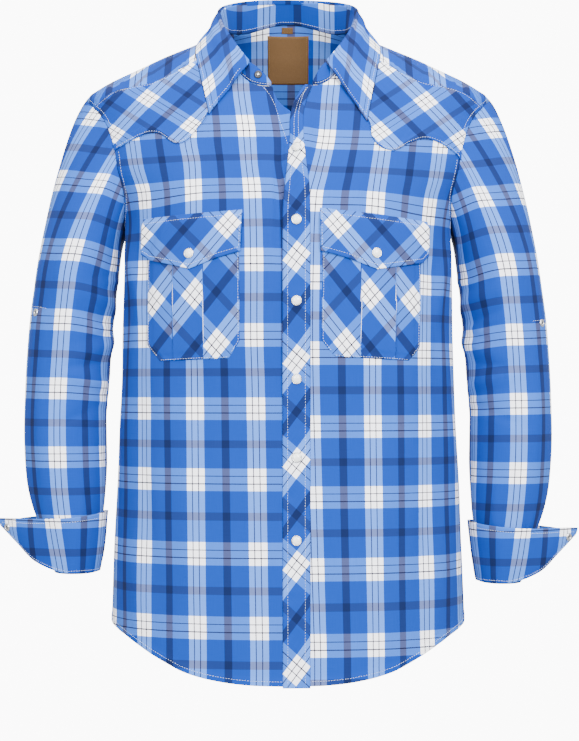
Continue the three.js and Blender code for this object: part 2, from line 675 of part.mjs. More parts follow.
// The back yoke's lower seam, u from the wearer's left armhole to the right one
function backSeamPoint(u) {
  const side = u < 0.5 ? 1 : -1;
  const at = Math.abs(u - 0.5) * 2;
  const row = rowAt(backYokeRows, 'at', at);
  if (at === 1) {
    const angle = armholeAngleAt(backYokeRows[backYokeRows.length - 1].z);
    return armholeAt(side, 2 * Math.PI - angle);
  }
  return bodyAtX(side * row.x, row.z, 1);
}

function backPanel() {
  const angleTop = armholeAngleAt(backYokeRows[backYokeRows.length - 1].z);
  const wrap = (turn) => (turn < 0 ? turn + 2 * Math.PI : turn);
  const hem = (u) => {
    const turn = lerp(sideSeam, 2 * Math.PI - sideSeam, u);
    return [turn, hemHeight(turn > Math.PI ? 2 * Math.PI - turn : turn)];
  };
  const seam = (u) => {
    const point = backSeamPoint(u);
    return [wrap(turnOf(point)), point.z];
  };
  const edge = (side) => (v) => {
    const [turn, z] = panelSide(side, v, 1, angleTop);
    return [wrap(turn), z];
  };
  const patch = blendEdges(hem, seam, edge(1), edge(-1));
  const base = (u, v) => {
    const [turn, z] = patch(u, v);
    return bodyAt(turn, z);
  };
  return bodyWall(base, backColumns, backRows, ['top', 'start', 'end']);
}

// Upper edge of the back yoke: up one shoulder seam, round the neck, down the other
function backYokeTop(u) {
  const side = u < 0.5 ? 1 : -1;
  const fromArmhole = 0.5 - Math.abs(u - 0.5);
  if (fromArmhole <= shoulderShare) return shoulderPoint(side, 1 - fromArmhole / shoulderShare);
  const round = (fromArmhole - shoulderShare) / (0.5 - shoulderShare);
  return neckPoint(side, lerp(neckAtShoulder, 1, round));
}

function backYoke() {
  const lowAngle = armholeAngleAt(backYokeRows[backYokeRows.length - 1].z);
  const highAngle = armholeAngleAt(shoulderRows[shoulderRows.length - 1].z);
  const base = (u, v) => {
    const low = backSeamPoint(u);
    const high = backYokeTop(u);
    if (v === 0) return low;
    if (v === 1) return high;
    if (u === 0 || u === 1) {
      const side = u === 0 ? 1 : -1;
      return armholeAt(side, lerp(-lowAngle, highAngle, v));
    }
    const chord = low.lerp(high, v);
    return throwOut(under(deepUnder.backYoke, chord.x), chord);
  };
  return bodyWall(base, backColumns, steps(8), ['bottom', 'top', 'start', 'end']);
}

// The collar's columns: at runs from -1, the wearer's right point, to 1, the left one
function collarSection(at) {
  const side = at < 0 ? -1 : 1;
  const row = rowAt(collarRows, 'at', Math.abs(at));
  const forward = at > 0.5 ? leftPointForward * ((at - 0.5) / 0.5) ** 2 : 0;
  const fold = new THREE.Vector3(side * row.foldX, row.foldY, row.foldZ);
  const low = new THREE.Vector3(side * row.edgeX, row.edgeY - forward, collarFrom);
  const high = low.clone().setZ(bodyRows[0].z);
  const edge = clothPoint(throwOut(low, high), lieGap + clothWall + collarEase);
  return { fold, edge };
}

const collarEnd = 0.18;        // where the collar's point stands on the neck seam
const neckOf = (at) => neckPoint(at < 0 ? -1 : 1, lerp(1, collarEnd, Math.abs(at)));

function collarFall() {
  const columns = steps(28).map((t) => 1 - 2 * t);
  const sections = columns.map((at) => {
    const { fold, edge } = collarSection(at);
    const up = fold.clone().sub(neckOf(at)).normalize();
    const away = new THREE.Vector3(fold.x, fold.y - 6, 0).normalize();
    const bow = edge.clone().sub(fold);
    const rise = ({ share, out, lift }) => fold.clone().addScaledVector(bow, share)
      .addScaledVector(away, out).addScaledVector(up, lift);
    const lying = ({ share, lift }) => {
      const point = rise({ share, out: 0, lift: 0 });
      const depth = bodyExcess(point);
      const onBody = throwOut(under(deepUnder.collar, point.x), point);
      const clear = clothPoint(onBody, lieGap + clothWall + lift);
      return depth < 0 || point.distanceTo(onBody) < clothWall + lift + lieGap ? clear : point;
    };
    const middle = lying(fallMiddle);
    const quarter = rise(fallQuarter).lerp(middle, fallQuarter.toMiddle);
    return [...fallTop.map(rise), quarter, middle, lying(fallLow), edge].reverse();
  });
  const grid = sections[0].map((_, i) => sections.map((section) => section[i]));
  return freeWall(grid.map((row) => [...row].reverse()), clothWall);
}

function collarBand() {
  const columns = steps(32).map((t) => (1 - 2 * t) * (1 + bandEndLength));
  const sections = columns.map((at) => {
    const side = at < 0 ? -1 : 1;
    const past = Math.max(0, Math.abs(at) - 1) / bandEndLength;
    const inside = side * Math.min(1, Math.abs(at));
    const frontAt = side < 0 ? 0.012 : leftFrontNeck + 0.008;
    const foot = past > 0 ? neckPoint(side, lerp(collarEnd, frontAt, past)) : neckOf(at);
    const { fold } = collarSection(inside);
    const up = fold.clone().sub(neckOf(inside));
    const height = 1 - bandEndDrop * past * past;
    const low = clothPoint(foot, seamGap).addScaledVector(up.clone().normalize(), 2.4 * seamGap);
    const high = past > 0 ? low.clone().addScaledVector(up, height) : fold;
    return [0, 0.35, 0.7, 1].map((t) => low.clone().lerp(high, t));
  });
  const grid = sections[0].map((_, i) => sections.map((section) => section[i]));
  return freeWall(grid.map((row) => [...row].reverse()), clothWall);
}

// One section of a sleeve below its cap
function sleeveRing(side, angle, z) {
  const row = rowAt(sleeveRows, 'z', z);
  const sine = Math.sin(angle);
  const cosine = Math.cos(angle);
  const scale = (Math.abs(sine) ** sleevePower + Math.abs(cosine) ** sleevePower)
    ** (-1 / sleevePower);
  const centre = (row.outer + row.inner) / 2;
  const half = (row.outer - row.inner) / 2;
  const lower = clamp((z - dropFrom) / (sleeveRows.at(-1).z - dropFrom), 0, 1);
  const drop = side > 0 ? leftSleeveDrop * lower : 0;
  return new THREE.Vector3(side * (centre + half * scale * cosine),
    row.y - row.depth * scale * sine, z - drop);
}

const capTop = sleeveRows[0].z;

// The cap: a smooth run from the armhole seam to the first full section
function sleeveCap(side, angle, t) {
  const low = (1 - Math.cos(angle)) / 2;
  const run = (column) => lerp(capRuns[0][column], capRuns[1][column], low);
  const from = clothPoint(armholeAt(side, angle), 0);
  from.x += side * 2 * seamGap;
  const to = sleeveRing(side, angle, capTop);
  const leave = new THREE.Vector3(side * run('out'), 0, -run('down')).multiplyScalar(run('leave'));
  const arrive = new THREE.Vector3(side * arriveOut, 0, -1).multiplyScalar(run('arrive'));
  const cubic = 2 * t ** 3 - 3 * t ** 2;
  return from.multiplyScalar(cubic + 1)
    .addScaledVector(leave, t ** 3 - 2 * t ** 2 + t)
    .addScaledVector(to, -cubic)
    .addScaledVector(arrive, t ** 3 - t ** 2);
}

function sleeveRise(angle, z) {
  const round = ((angle / degrees) % 360 + 360) % 360;
  let rise = 0;
  for (const fold of sleeveFolds) {
    const aside = (round - fold.round) / fold.wide;
    const along = (z - fold.z - fold.slope * (round - fold.round)) / fold.long;
    rise += fold.rise * Math.exp(-aside * aside) * Math.exp(-along * along);
  }
  return rise;
}

const sleeveColumns = 24;
const capSteps = [0, 0.16, 0.34, 0.54, 0.77];
const sleeveHeights = [-272, -290, -306, -322, -340, -358, -376, -394, -412, -440, -470, -500,
  -530, -556, -584, -608];

function sleeve(side) {
  const rounds = Array.from({ length: sleeveColumns },
    (_, j) => (side > 0 ? -1 : 1) * (j / sleeveColumns) * 2 * Math.PI);
  const capRows = capSteps.map((t) => rounds.map((angle) => sleeveCap(side, angle, t)));
  const armRows = sleeveHeights.map((z) => rounds.map((angle) => sleeveRing(side, angle, z)));
  const plain = [...capRows, ...armRows].reverse();
  const normals = gridNormals(plain, true);
  const last = plain.length - 1;
  const offset = (amount) => plain.map((row, i) => row.map((point, j) => {
    const rise = i === last ? 0 : sleeveRise(rounds[j], point.z);
    return point.clone().addScaledVector(normals[i][j], rise + amount);
  }));
  const outer = offset(0);
  const inner = offset(-clothWall);
  inner[last].forEach((point, j) => {
    const edge = outer[last][j];
    if (side * point.x < side * edge.x) point.x = edge.x;
  });
  return wallBetween(outer, inner, true);
}

function cuff(side) {
  const endZ = sleeveRows.at(-1).z;
  const drop = side > 0 ? leftSleeveDrop : 0;
  const upTo = (low, top) => steps(3).map((t) => low.clone().lerp(top, t));
  const columns = cuffRows.map((row) => {
    const top = new THREE.Vector3(side * row.x, row.y, row.top - drop);
    if (row.round === undefined) {
      return upTo(new THREE.Vector3(side * row.bottomX, row.bottomY, row.bottom - drop), top);
    }
    const end = sleeveRing(side, row.round * degrees, endZ);
    const centre = sleeveRing(side, 0, endZ).lerp(sleeveRing(side, Math.PI, endZ), 0.5);
    const away = end.clone().sub(centre).normalize();
    const low = end.addScaledVector(away, foldedWall + 4 * seamGap);
    low.z += cuffFootRise;
    return upTo(low, top);
  });
  const smooth = columns[0].map((_, i) => {
    const curve = new THREE.CatmullRomCurve3(columns.map((column) => column[i]), false, 'centripetal');
    return steps(30).map((t) => curve.getPoint(t));
  });
  const grid = side > 0 ? smooth.map((row) => [...row].reverse()) : smooth;
  return freeWall(grid, foldedWall);
}

// A piece that lies on a front, between two edges that each give [x, z] from their top down
function pieceOnFront(side, inner, outer, columns, rows, rise) {
  const grid = (lift) => rows.map((v) => columns.map((u) => {
    const a = inner(1 - v);
    const b = outer(1 - v);
    const x = side * lerp(a[0], b[0], u);
    const z = lerp(a[1], b[1], u) + rise.drop(u, v);
    return clothPoint(bodyAtX(x, z, -1), lift + rise.out(u, v, x));
  }));
  const outerGrid = grid(lieGap + clothWall + rise.base);
  const innerGrid = grid(lieGap + rise.base);
  if (side < 0) {
    outerGrid.forEach((row) => row.reverse());
    innerGrid.forEach((row) => row.reverse());
  }
  return wallBetween(outerGrid, innerGrid);
}

// Runs along corners that are joined by straight lines
function runAlong(corners) {
  const lengths = corners.slice(1).map((corner, i) => Math.hypot(corner[0] - corners[i][0],
    corner[1] - corners[i][1]));
  const total = lengths.reduce((sum, length) => sum + length, 0);
  return (t) => {
    let left = t * total;
    let i = 0;
    while (i < lengths.length - 1 && left > lengths[i]) {
      left -= lengths[i];
      i += 1;
    }
    const share = clamp(left / lengths[i], 0, 1);
    return [lerp(corners[i][0], corners[i + 1][0], share), lerp(corners[i][1], corners[i + 1][1], share)];
  };
}

const pocketOf = (side) => (side < 0 ? rightPocket : leftPocket);

function pocketBag(side) {
  const { bag, pleats } = pocketOf(side);
  const inner = runAlong([bag.innerTop, bag.innerLow, bag.innerFoot]);
  const outer = runAlong([bag.outerTop, bag.outerLow, bag.outerFoot]);
  const rise = {
    base: 0,
    drop: () => 0,
    out: (u, v, x) => pleats.reduce((sum, at) => {
      const aside = (side * x - at) / pleatHalf;
      return sum + pleatRise * Math.exp(-aside * aside);
    }, 0) * Math.sin(Math.PI * clamp(u, 0, 1)) ** pleatFade,
  };
  return pieceOnFront(side, inner, outer, steps(pocketColumns), bagHeights, rise);
}

function pocketFlap(side) {
  const { flap, pleats } = pocketOf(side);
  const inner = runAlong([flap.innerTop, flap.innerSide]);
  const outer = runAlong([flap.outerTop, flap.outerSide]);
  const pointAt = (flap.point[0] - flap.innerSide[0]) / (flap.outerSide[0] - flap.innerSide[0]);
  const level = lerp(flap.innerSide[1], flap.outerSide[1], pointAt);
  const rise = {
    base: clothWall + pleatRise + lieGap,
    drop: (u, v) => {
      const beside = u < pointAt ? u / pointAt : (1 - u) / (1 - pointAt);
      const straight = (flap.point[1] - level) * beside;
      return (straight + flapDip * Math.sin(Math.PI * beside)) * (1 - v);
    },
    out: (u, v, x) => pleats.reduce((sum, at) => {
      const aside = (side * x - at) / flapPleatHalf;
      return sum + flapPleatRise * Math.exp(-aside * aside);
    }, 0),
  };
  return pieceOnFront(side, inner, outer, steps(pocketColumns), steps(flapRows), rise);
}

function placket() {
  const top = neckRows[0].z;
  const bottom = hemRows[0].z - placketOverhang;
  const base = (u, v) => {
    const z = lerp(bottom, top, v);
    const row = rowAt(openingRows, 'z', z);
    return bodyAtX(lerp(row.left, row.right, u), z, -1);
  };
  return bodyWall(base, steps(placketColumns), placketHeights, [], lieGap + clothWall);
}

const ray = new THREE.Raycaster();

// Where a line square to the front or the back meets a piece
function meets(mesh, x, z, face) {
  ray.set(new THREE.Vector3(x, face < 0 ? -400 : 0, z), new THREE.Vector3(0, 1, 0));
  return ray.intersectObject(mesh)[0];
}

// A patch on the inner face of the back yoke, made from the points that it covers
function patchInside(yoke, { halfWidth, centre, low, high, rows }) {
  const grid = (lift) => steps(rows).map((v) => steps(4).map((u) => {
    const { point } = meets(yoke, centre + lerp(halfWidth, -halfWidth, u), lerp(low, high, v), 1);
    point.y -= lift;
    return point;
  }));
  return wallBetween(grid(lieGap + seamGap), grid(lieGap + seamGap + labelWall));
}

function turned(profile, radius) {
  const points = profile.map(([r, h]) => new THREE.Vector2(r * radius, h * radius));
  const geometry = new THREE.LatheGeometry(points, 12);
  geometry.computeBoundingSphere();
  return geometry;
}

// A snap: a low dome with a rolled rim, its axis square to what it sits on
function snapShape(radius) {
  return turned([[0, 0], [1, 0], [1.02, 0.14], [0.94, 0.27], [0.6, 0.43], [0, 0.5]], radius);
}

// A ring snap: a flat rim with a sunk middle
function ringSnapShape(radius) {
  return turned([[0, 0], [1, 0], [1, 0.22], [0.84, 0.34], [0.56, 0.28], [0.44, 0.16], [0, 0.16]], radius);
}

const shirt = new THREE.Group();
shirt.name = 'western_snap_shirt';

const finishes = {
  plaid: { color: 0x4a80cc, roughness: 0.85, metalness: 0 },
  plaidTrim: { color: 0x7da4dc, roughness: 0.85, metalness: 0 },
  patch: { color: 0x8c6946, roughness: 0.8, metalness: 0 },
  pearl: { color: 0xf0efec, roughness: 0.25, metalness: 0 },
  steel: { color: 0xb9bcc2, roughness: 0.3, metalness: 1 },
};

function add(name, finish, geometry) {
  const mesh = new THREE.Mesh(geometry, new THREE.MeshStandardMaterial(finishes[finish]));
  mesh.name = name;
  shirt.add(mesh);
  return mesh;
}

// Sets a snap on the front of a piece: its axis follows the cloth that its rim covers
function addSnap(name, finish, geometry, piece, { x, z }) {
  const reach = geometry.boundingSphere.radius * snapSeat;
  const spots = [[0, 0], [reach, 0], [0, reach], [-reach, 0], [0, -reach]]
    .map(([aside, up]) => meets(piece, x + aside, z + up, -1));
  const axis = new THREE.Vector3();
  spots.forEach((spot) => axis.add(spot.face.normal));
  axis.normalize();
  const centre = spots[0].point;
  const highest = Math.max(...spots.map((spot) => spot.point.clone().sub(centre).dot(axis)));
  const mesh = add(name, finish, geometry);
  mesh.quaternion.setFromUnitVectors(new THREE.Vector3(0, 1, 0), axis);
  mesh.position.copy(centre).addScaledVector(axis, highest + seamGap);
}

const sideNames = { '-1': 'right', 1: 'left' };

add('back_panel', 'plaid', backPanel());
const yokeMesh = add('back_yoke', 'plaidTrim', backYoke());
const bandMesh = add('collar_band', 'plaid', collarBand());
add('collar_fall', 'plaidTrim', collarFall());
const placketMesh = add('placket', 'plaidTrim', placket());
const pieces = { '-1': {}, 1: {} };
for (const side of [-1, 1]) {
  const name = sideNames[side];
  const own = pieces[side];
  add(`front_${name}`, 'plaid', frontPanel(side));
  add(`front_yoke_${name}`, 'plaidTrim', frontYoke(side));
  own.sleeve = add(`sleeve_${name}`, 'plaid', sleeve(side));
  own.cuff = add(`cuff_${name}`, 'plaidTrim', cuff(side));
  add(`pocket_${name}`, 'plaidTrim', pocketBag(side));
  own.flap = add(`pocket_flap_${name}`, 'plaid', pocketFlap(side));
}
add('neck_label', 'patch', patchInside(yokeMesh, neckLabel));
add('size_tab', 'patch', patchInside(yokeMesh, sizeTab));

placketSnaps.forEach((snap, i) => {
  addSnap(`placket_snap_${i + 1}`, 'pearl', snapShape(snapRadius), placketMesh, snap);
});
addSnap('neck_snap', 'steel', snapShape(ringSnapRadius), bandMesh, neckSnap);
[-1, 1].forEach((side) => {
  const word = sideNames[side];
  const { flap, sleeve: arm, cuff: end } = pieces[side];
  addSnap(`flap_snap_${word}`, 'pearl', snapShape(snapRadius), flap, flapSnaps[side]);
  addSnap(`tab_snap_${word}`, 'steel', ringSnapShape(ringSnapRadius), arm, tabSnaps[side]);
  addSnap(`cuff_snap_${word}`, 'steel', ringSnapShape(ringSnapRadius), end, cuffSnaps[side]);
});

export default shirt;
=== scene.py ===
import math
import bpy
import numpy as np
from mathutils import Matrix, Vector
from mathutils.bvhtree import BVHTree


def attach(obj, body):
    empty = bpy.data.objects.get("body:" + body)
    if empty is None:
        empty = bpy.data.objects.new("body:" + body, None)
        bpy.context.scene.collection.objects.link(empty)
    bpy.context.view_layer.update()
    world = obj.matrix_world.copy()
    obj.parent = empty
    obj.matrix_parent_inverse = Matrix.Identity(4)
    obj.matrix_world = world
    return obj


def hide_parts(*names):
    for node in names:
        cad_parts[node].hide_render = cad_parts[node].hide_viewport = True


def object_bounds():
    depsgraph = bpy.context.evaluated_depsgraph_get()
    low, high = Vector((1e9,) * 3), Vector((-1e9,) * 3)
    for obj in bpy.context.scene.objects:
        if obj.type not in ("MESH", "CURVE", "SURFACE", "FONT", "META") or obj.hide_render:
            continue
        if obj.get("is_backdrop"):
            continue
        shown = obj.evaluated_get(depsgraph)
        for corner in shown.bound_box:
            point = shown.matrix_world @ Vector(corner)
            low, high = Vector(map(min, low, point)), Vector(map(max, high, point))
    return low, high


# The western snap shirt in cloth. Shapes are worked out in millimetres and the cloth's own
# plaid is laid on each cut piece. The wearer's right is at -X.

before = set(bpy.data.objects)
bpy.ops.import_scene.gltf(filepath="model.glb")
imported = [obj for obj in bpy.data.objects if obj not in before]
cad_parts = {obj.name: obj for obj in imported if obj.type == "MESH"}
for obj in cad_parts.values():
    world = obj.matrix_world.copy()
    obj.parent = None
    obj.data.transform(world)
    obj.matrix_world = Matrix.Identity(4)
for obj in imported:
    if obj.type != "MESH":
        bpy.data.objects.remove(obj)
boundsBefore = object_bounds()
print("frame loaded")

# Sizes
mm = 0.001
clothThickness = 0.55
placketSeamInset = 4  # how far the left front ends under the placket
armholeTop = -64
armholeBottom = -215
armholeHalfDepth = 59
armholeCentreY = 4
underarmSpread = 0.12  # more depth in the armhole's lower half
sideSeam = math.pi / 2
underarmShare = 0.68  # share of a front's rows below the armhole
neckShare = 0.93  # share of a front's rows below the neck
# Places on the neck line, from 0 at the wearer's right front corner to 1 at the back
neckAtYoke = 0.29
neckAtShoulder = 0.47
leftFrontNeck = 0.065
warpRepeat = 65.5
weftRepeat = 80
stitchInset = 5.2
stitchPitch = 3.0
seamWidth = 7.0  # of the raised felled seam
normalStep = 0.4  # to each side of a point, to find its normal


def table(columns, rows):
    return {name: np.array([row[i] for row in rows], float) for i, name in enumerate(columns.split())}


# Body sections: half width, y of the ridge, of the front and of the back, and how square it is
bodyRows = table("z half ridge front back power", [
    (48, 40, 14, 2, 64, 2),
    (36, 52, 12, 0, 72, 2),
    (18, 72, 10, -8, 81, 2),
    (5, 98, 9, -25, 87, 2),
    (-3, 116, 9, -35, 90, 2),
    (-17, 149, 8, -50, 95, 2),
    (-29, 175, 8, -59, 98, 2),
    (-40, 198, 7, -67, 101, 2),
    (-52, 219, 6, -74, 104, 2.02),
    (-64, 234, 5, -80, 106, 2.05),
    (-90, 230, 4, -91, 110, 2.15),
    (-120, 224, 3, -102, 114, 2.25),
    (-150, 214, 2, -112, 117, 2.35),
    (-182, 196, 1, -121, 119, 2.42),
    (-215, 187, 0, -127, 119, 2.45),
    (-272, 189, 0, -131, 114, 2.5),
    (-340, 190.5, 0, -130, 108, 2.5),
    (-412, 192.5, 0, -127, 104, 2.5),
    (-528, 198, 0, -128, 107, 2.5),
    (-650, 203, 0, -132, 114, 2.5),
    (-748, 205, 0, -135, 119, 2.5),
])
# Edges and seams: the turn in degrees or the share of the way along, then the place
hemRows = table("turn z", [
    (0, -724), (13, -722.5), (23, -718), (32, -710), (38, -701), (44, -692), (50, -683),
    (58, -674), (72, -666), (90, -663), (104, -667), (118, -682), (132, -706), (147, -728),
    (162, -739), (180, -742),
])
neckRows = table("at x y z", [
    (0, 17, -78, -59.5), (0.09, 30, -76.6, -59), (0.18, 42, -73.7, -55), (0.27, 53, -67, -44),
    (0.36, 62, -52, -26), (0.46, 69, -26, -3), (0.53, 71.5, -8, 9.4), (0.6, 72, 10, 18),
    (0.7, 67.5, 33, 18.3), (0.8, 53, 54, 23.5), (0.9, 29, 67.5, 32), (1, 0, 72, 36),
])
yokeRows = {
    -1: table("at x z", [
        (0, 55, -40), (0.2, 87, -84), (0.3, 93, -97), (0.4, 101, -107.5), (0.5, 112.6, -121.5),
        (0.6, 126, -125), (0.72, 144, -113), (0.84, 163, -113.5), (1, 196, -129),
    ]),
    1: table("at x z", [
        (0, 55, -40), (0.2, 90.5, -100), (0.3, 93.5, -117), (0.4, 102, -129), (0.5, 118.7, -133.5),
        (0.62, 136, -124), (0.74, 156, -118.5), (0.88, 182, -128), (1, 197, -140),
    ]),
}
shoulderRows = table("at x z", [
    (0, 69.6, -1), (0.22, 105, -26), (0.4, 131, -42), (0.55, 155, -52.5), (0.7, 178, -56.5),
    (0.85, 201, -62), (1, 222, -76),
])
backYokeRows = table("at x z", [
    (0, 0, -160), (0.16, 30, -146), (0.34, 66, -127), (0.55, 106, -118), (0.78, 150, -124),
    (1, 193, -138),
])
openingRows = table("z left right under", [
    (-56, 20, 27.5, -19), (-61, 17.6, 26.5, -16), (-75, 8.6, 21.5, -7), (-91, 3.4, 17.8, 3),
    (-103, 1.8, 16.9, 6.8), (-126, 1.6, 17.6, 11.6), (-149, -0.6, 20, 15.2),
    (-173, -3.4, 23.4, 18.8), (-205, -5.8, 24.6, 20.1), (-760, -5.8, 24.6, 20.1),
])
# Large folds of the body, as in the frame: x, z, face, half width, half length, lean, rise
bodyFolds = [
    (16, -128, -1, 15, 62, 0, 8), (176, -268, -1, 8, 56, 0.2, 4), (-176, -264, -1, 8, 58, -0.2, 4),
    (178, -420, -1, 12, 110, -0.05, 3), (-180, -405, -1, 12, 120, 0.04, 3),
    (120, -470, -1, 18, 120, 0.1, 2.2), (-118, -500, -1, 18, 130, -0.08, 2.2),
    (172, -600, -1, 14, 70, 0.05, 2.5), (-170, -610, -1, 14, 66, -0.05, 2.5),
    (150, -330, 1, 14, 130, 0.12, 4), (-146, -345, 1, 14, 120, -0.1, 4),
    (70, -470, 1, 20, 140, 0.04, 3.5), (-62, -440, 1, 20, 150, -0.05, 3.5),
    (4, -560, 1, 18, 110, 0.02, 3),
]
# Smaller creases of the thin cloth, in the same columns
bodyCreases = [
    (-150, -238, -1, 5, 34, 0.45, -1.6), (-160, -300, -1, 6, 60, 0.06, -1.8),
    (-140, -420, -1, 9, 80, 0.05, 1.1), (-95, -430, -1, 10, 90, -0.04, -1.0),
    (-60, -560, -1, 12, 90, 0.03, 0.9), (-155, -540, -1, 7, 60, -0.08, -1.4),
    (148, -240, -1, 5, 36, -0.4, -1.6), (163, -330, -1, 6, 70, -0.04, -1.8),
    (140, -420, -1, 9, 90, -0.03, 1.2), (88, -520, -1, 10, 90, 0.05, -1.1),
    (60, -430, -1, 10, 70, -0.05, 0.8), (150, -560, -1, 7, 70, 0.06, -1.4),
    (-70, -160, -1, 9, 26, -0.3, 0.9), (80, -170, -1, 9, 28, 0.25, 0.9),
    (-35, -205, -1, 7, 60, 0.05, 0.8), (48, -230, -1, 7, 70, -0.03, 0.9),
    (-182, -350, -1, 6, 60, 0.08, -2.0), (184, -365, -1, 6, 60, -0.08, -2.0),
    (-120, -660, -1, 9, 34, 0.1, 1.0), (112, -668, -1, 9, 34, -0.1, 1.0),
    (-110, -240, 1, 9, 60, 0.2, 1.6), (104, -250, 1, 9, 64, -0.2, 1.6),
    (-40, -250, 1, 10, 70, 0.05, 1.2), (34, -240, 1, 10, 70, -0.05, 1.2),
    (-110, -520, 1, 11, 90, -0.08, 1.6), (112, -540, 1, 11, 90, 0.08, 1.6),
    (30, -640, 1, 10, 60, 0.05, 1.3), (-36, -650, 1, 10, 56, -0.05, 1.3),
    (0, -330, 1, 14, 90, 0, -1.4), (-160, -440, 1, 8, 90, 0.03, -1.8),
    (160, -450, 1, 8, 90, -0.03, -1.8),
]
degrees = math.pi / 180


def lerp(a, b, t):
    return a + (b - a) * t


def vec(x, y, z):
    return np.stack(np.broadcast_arrays(x, y, z), -1).astype(float)


def unit(v):
    return v / np.maximum(np.linalg.norm(v, axis=-1, keepdims=True), 1e-9)


def ease(t):
    t = np.clip(t, 0, 1)
    return t * t * (3 - 2 * t)


def rowAt(rows, key, value):
    keys = rows[key]
    sign = 1 if keys[-1] > keys[0] else -1
    value = np.asarray(value, float)
    i = np.clip(np.searchsorted(sign * keys, sign * value, side="left") - 1, 0, len(keys) - 2)
    before = np.maximum(i - 1, 0)
    after = np.minimum(i + 2, len(keys) - 1)
    span = keys[i + 1] - keys[i]
    t = np.clip((value - keys[i]) / span, 0, 1)
    result = {}
    for column, data in rows.items():
        slopeFrom = (data[i + 1] - data[before]) / (keys[i + 1] - keys[before]) * span
        slopeTo = (data[after] - data[i]) / (keys[after] - keys[i]) * span
        result[column] = ((2 * t**3 - 3 * t**2 + 1) * data[i] + (t**3 - 2 * t**2 + t) * slopeFrom
                          + (3 * t**2 - 2 * t**3) * data[i + 1] + (t**3 - t**2) * slopeTo)
    return result


def depthOf(row, isFront):
    return np.where(isFront, row["ridge"] - row["front"], row["back"] - row["ridge"])


# Point of the body at a turn from the middle of the front
def bodyAt(turn, z):
    row = rowAt(bodyRows, "z", z)
    sine, cosine = np.sin(turn), np.cos(turn)
    power = row["power"]
    scale = (np.abs(sine)**power + np.abs(cosine)**power)**(-1 / power)
    depth = depthOf(row, cosine > 0)
    return vec(row["half"] * scale * sine, row["ridge"] - depth * scale * cosine, z)


def turnAt(x, z, face):
    row = rowAt(bodyRows, "z", z)
    across = np.clip(x / row["half"], -1, 1)
    ahead = (1 - np.abs(across)**row["power"])**(1 / row["power"])
    return np.arctan2(across, ahead if face < 0 else -ahead)


def bodyAtX(x, z, face):
    return bodyAt(turnAt(x, z, face), z)


# Below 0 inside the body and above 0 outside it
def bodyExcess(point):
    row = rowAt(bodyRows, "z", point[..., 2])
    y = point[..., 1]
    depth = depthOf(row, y < row["ridge"])
    across = np.abs(point[..., 0]) / row["half"]
    ahead = np.abs(y - row["ridge"]) / depth
    above = np.maximum(0, point[..., 2] - bodyRows["z"][0])
    power = row["power"]
    return (across**power + ahead**power)**(1 / power) - 1 + above


def bodyNormal(point):
    slopes = []
    for axis in range(3):
        step = np.zeros(3)
        step[axis] = normalStep
        slopes.append(bodyExcess(point + step) - bodyExcess(point - step))
    return unit(np.stack(slopes, -1))


# Where the line from a point inside through another one leaves the body
def throwOut(inside, through):
    inside, through = np.broadcast_arrays(inside, through)
    ray = through - inside
    near = np.zeros(ray.shape[:-1])
    far = near + 4
    for _ in range(36):
        middle = (near + far) / 2
        outside = bodyExcess(inside + ray * middle[..., None]) > 0
        far = np.where(outside, middle, far)
        near = np.where(outside, near, middle)
    return inside + ray * near[..., None]


def foldRise(point):
    rise = np.zeros(point.shape[:-1])
    for x, z, face, wide, long, lean, height in bodyFolds + bodyCreases:
        along = (point[..., 2] - z) / long
        aside = (point[..., 0] - x - lean * (point[..., 2] - z)) / wide
        own = (point[..., 1] > 0) == (face > 0)
        rise += np.where(own, height * np.exp(-aside**2 - along**2), 0)
    return rise * np.clip(np.abs(point[..., 1]) / 40, 0, 1)


# Soft unevenness of worn cotton, a sum of slanted waves
def restless(point):
    x, y, z = point[..., 0], point[..., 1], point[..., 2]
    a = np.sin(x / 17 + z / 46 + 0.8 * np.sin(z / 61)) * np.sin(z / 38 + x / 70 + 1.3)
    b = np.sin(x / 9.5 - z / 29 + 1.1 + 0.9 * np.sin(x / 33)) * np.sin(y / 14 + z / 52)
    return 0.38 * a + 0.16 * b


def raised(grid, normals, rise):
    return grid + normals * rise[..., None]


def clothPoint(base, lift):
    return raised(base, bodyNormal(base), foldRise(base) + lift)


def armholeAngleAt(z):
    middle = (armholeTop + armholeBottom) / 2
    return np.arccos(np.clip((z - middle) / (armholeTop - middle), -1, 1))


def armholeAt(side, angle):
    middle = (armholeTop + armholeBottom) / 2
    z = middle + (armholeTop - middle) * np.cos(angle)
    ahead = armholeHalfDepth * (1 - underarmSpread * np.cos(angle)) * np.sin(angle)
    row = rowAt(bodyRows, "z", z)
    y = armholeCentreY * (1 + np.cos(angle)) / 2 - ahead
    depth = depthOf(row, y < row["ridge"])
    share = np.clip(np.abs(y - row["ridge"]) / depth, 0, 1)
    across = (1 - share**row["power"])**(1 / row["power"])
    return vec(side * row["half"] * across, y, z)


def neckPoint(side, at):
    row = rowAt(neckRows, "at", at)
    x = side * row["x"]
    return throwOut(vec(x * 0.4, 10, -120), vec(x, row["y"], row["z"]))


# Turn of a point of the body, the other way round from bodyAt
def turnOf(point):
    row = rowAt(bodyRows, "z", point[..., 2])
    y = point[..., 1]
    depth = depthOf(row, y < row["ridge"])
    return np.arctan2(point[..., 0] / row["half"], (row["ridge"] - y) / depth)


def turnAndHeight(point):
    return np.stack([turnOf(point), point[..., 2]], -1)


def hemHeight(turn):
    return rowAt(hemRows, "turn", np.abs(turn) / degrees)["z"]


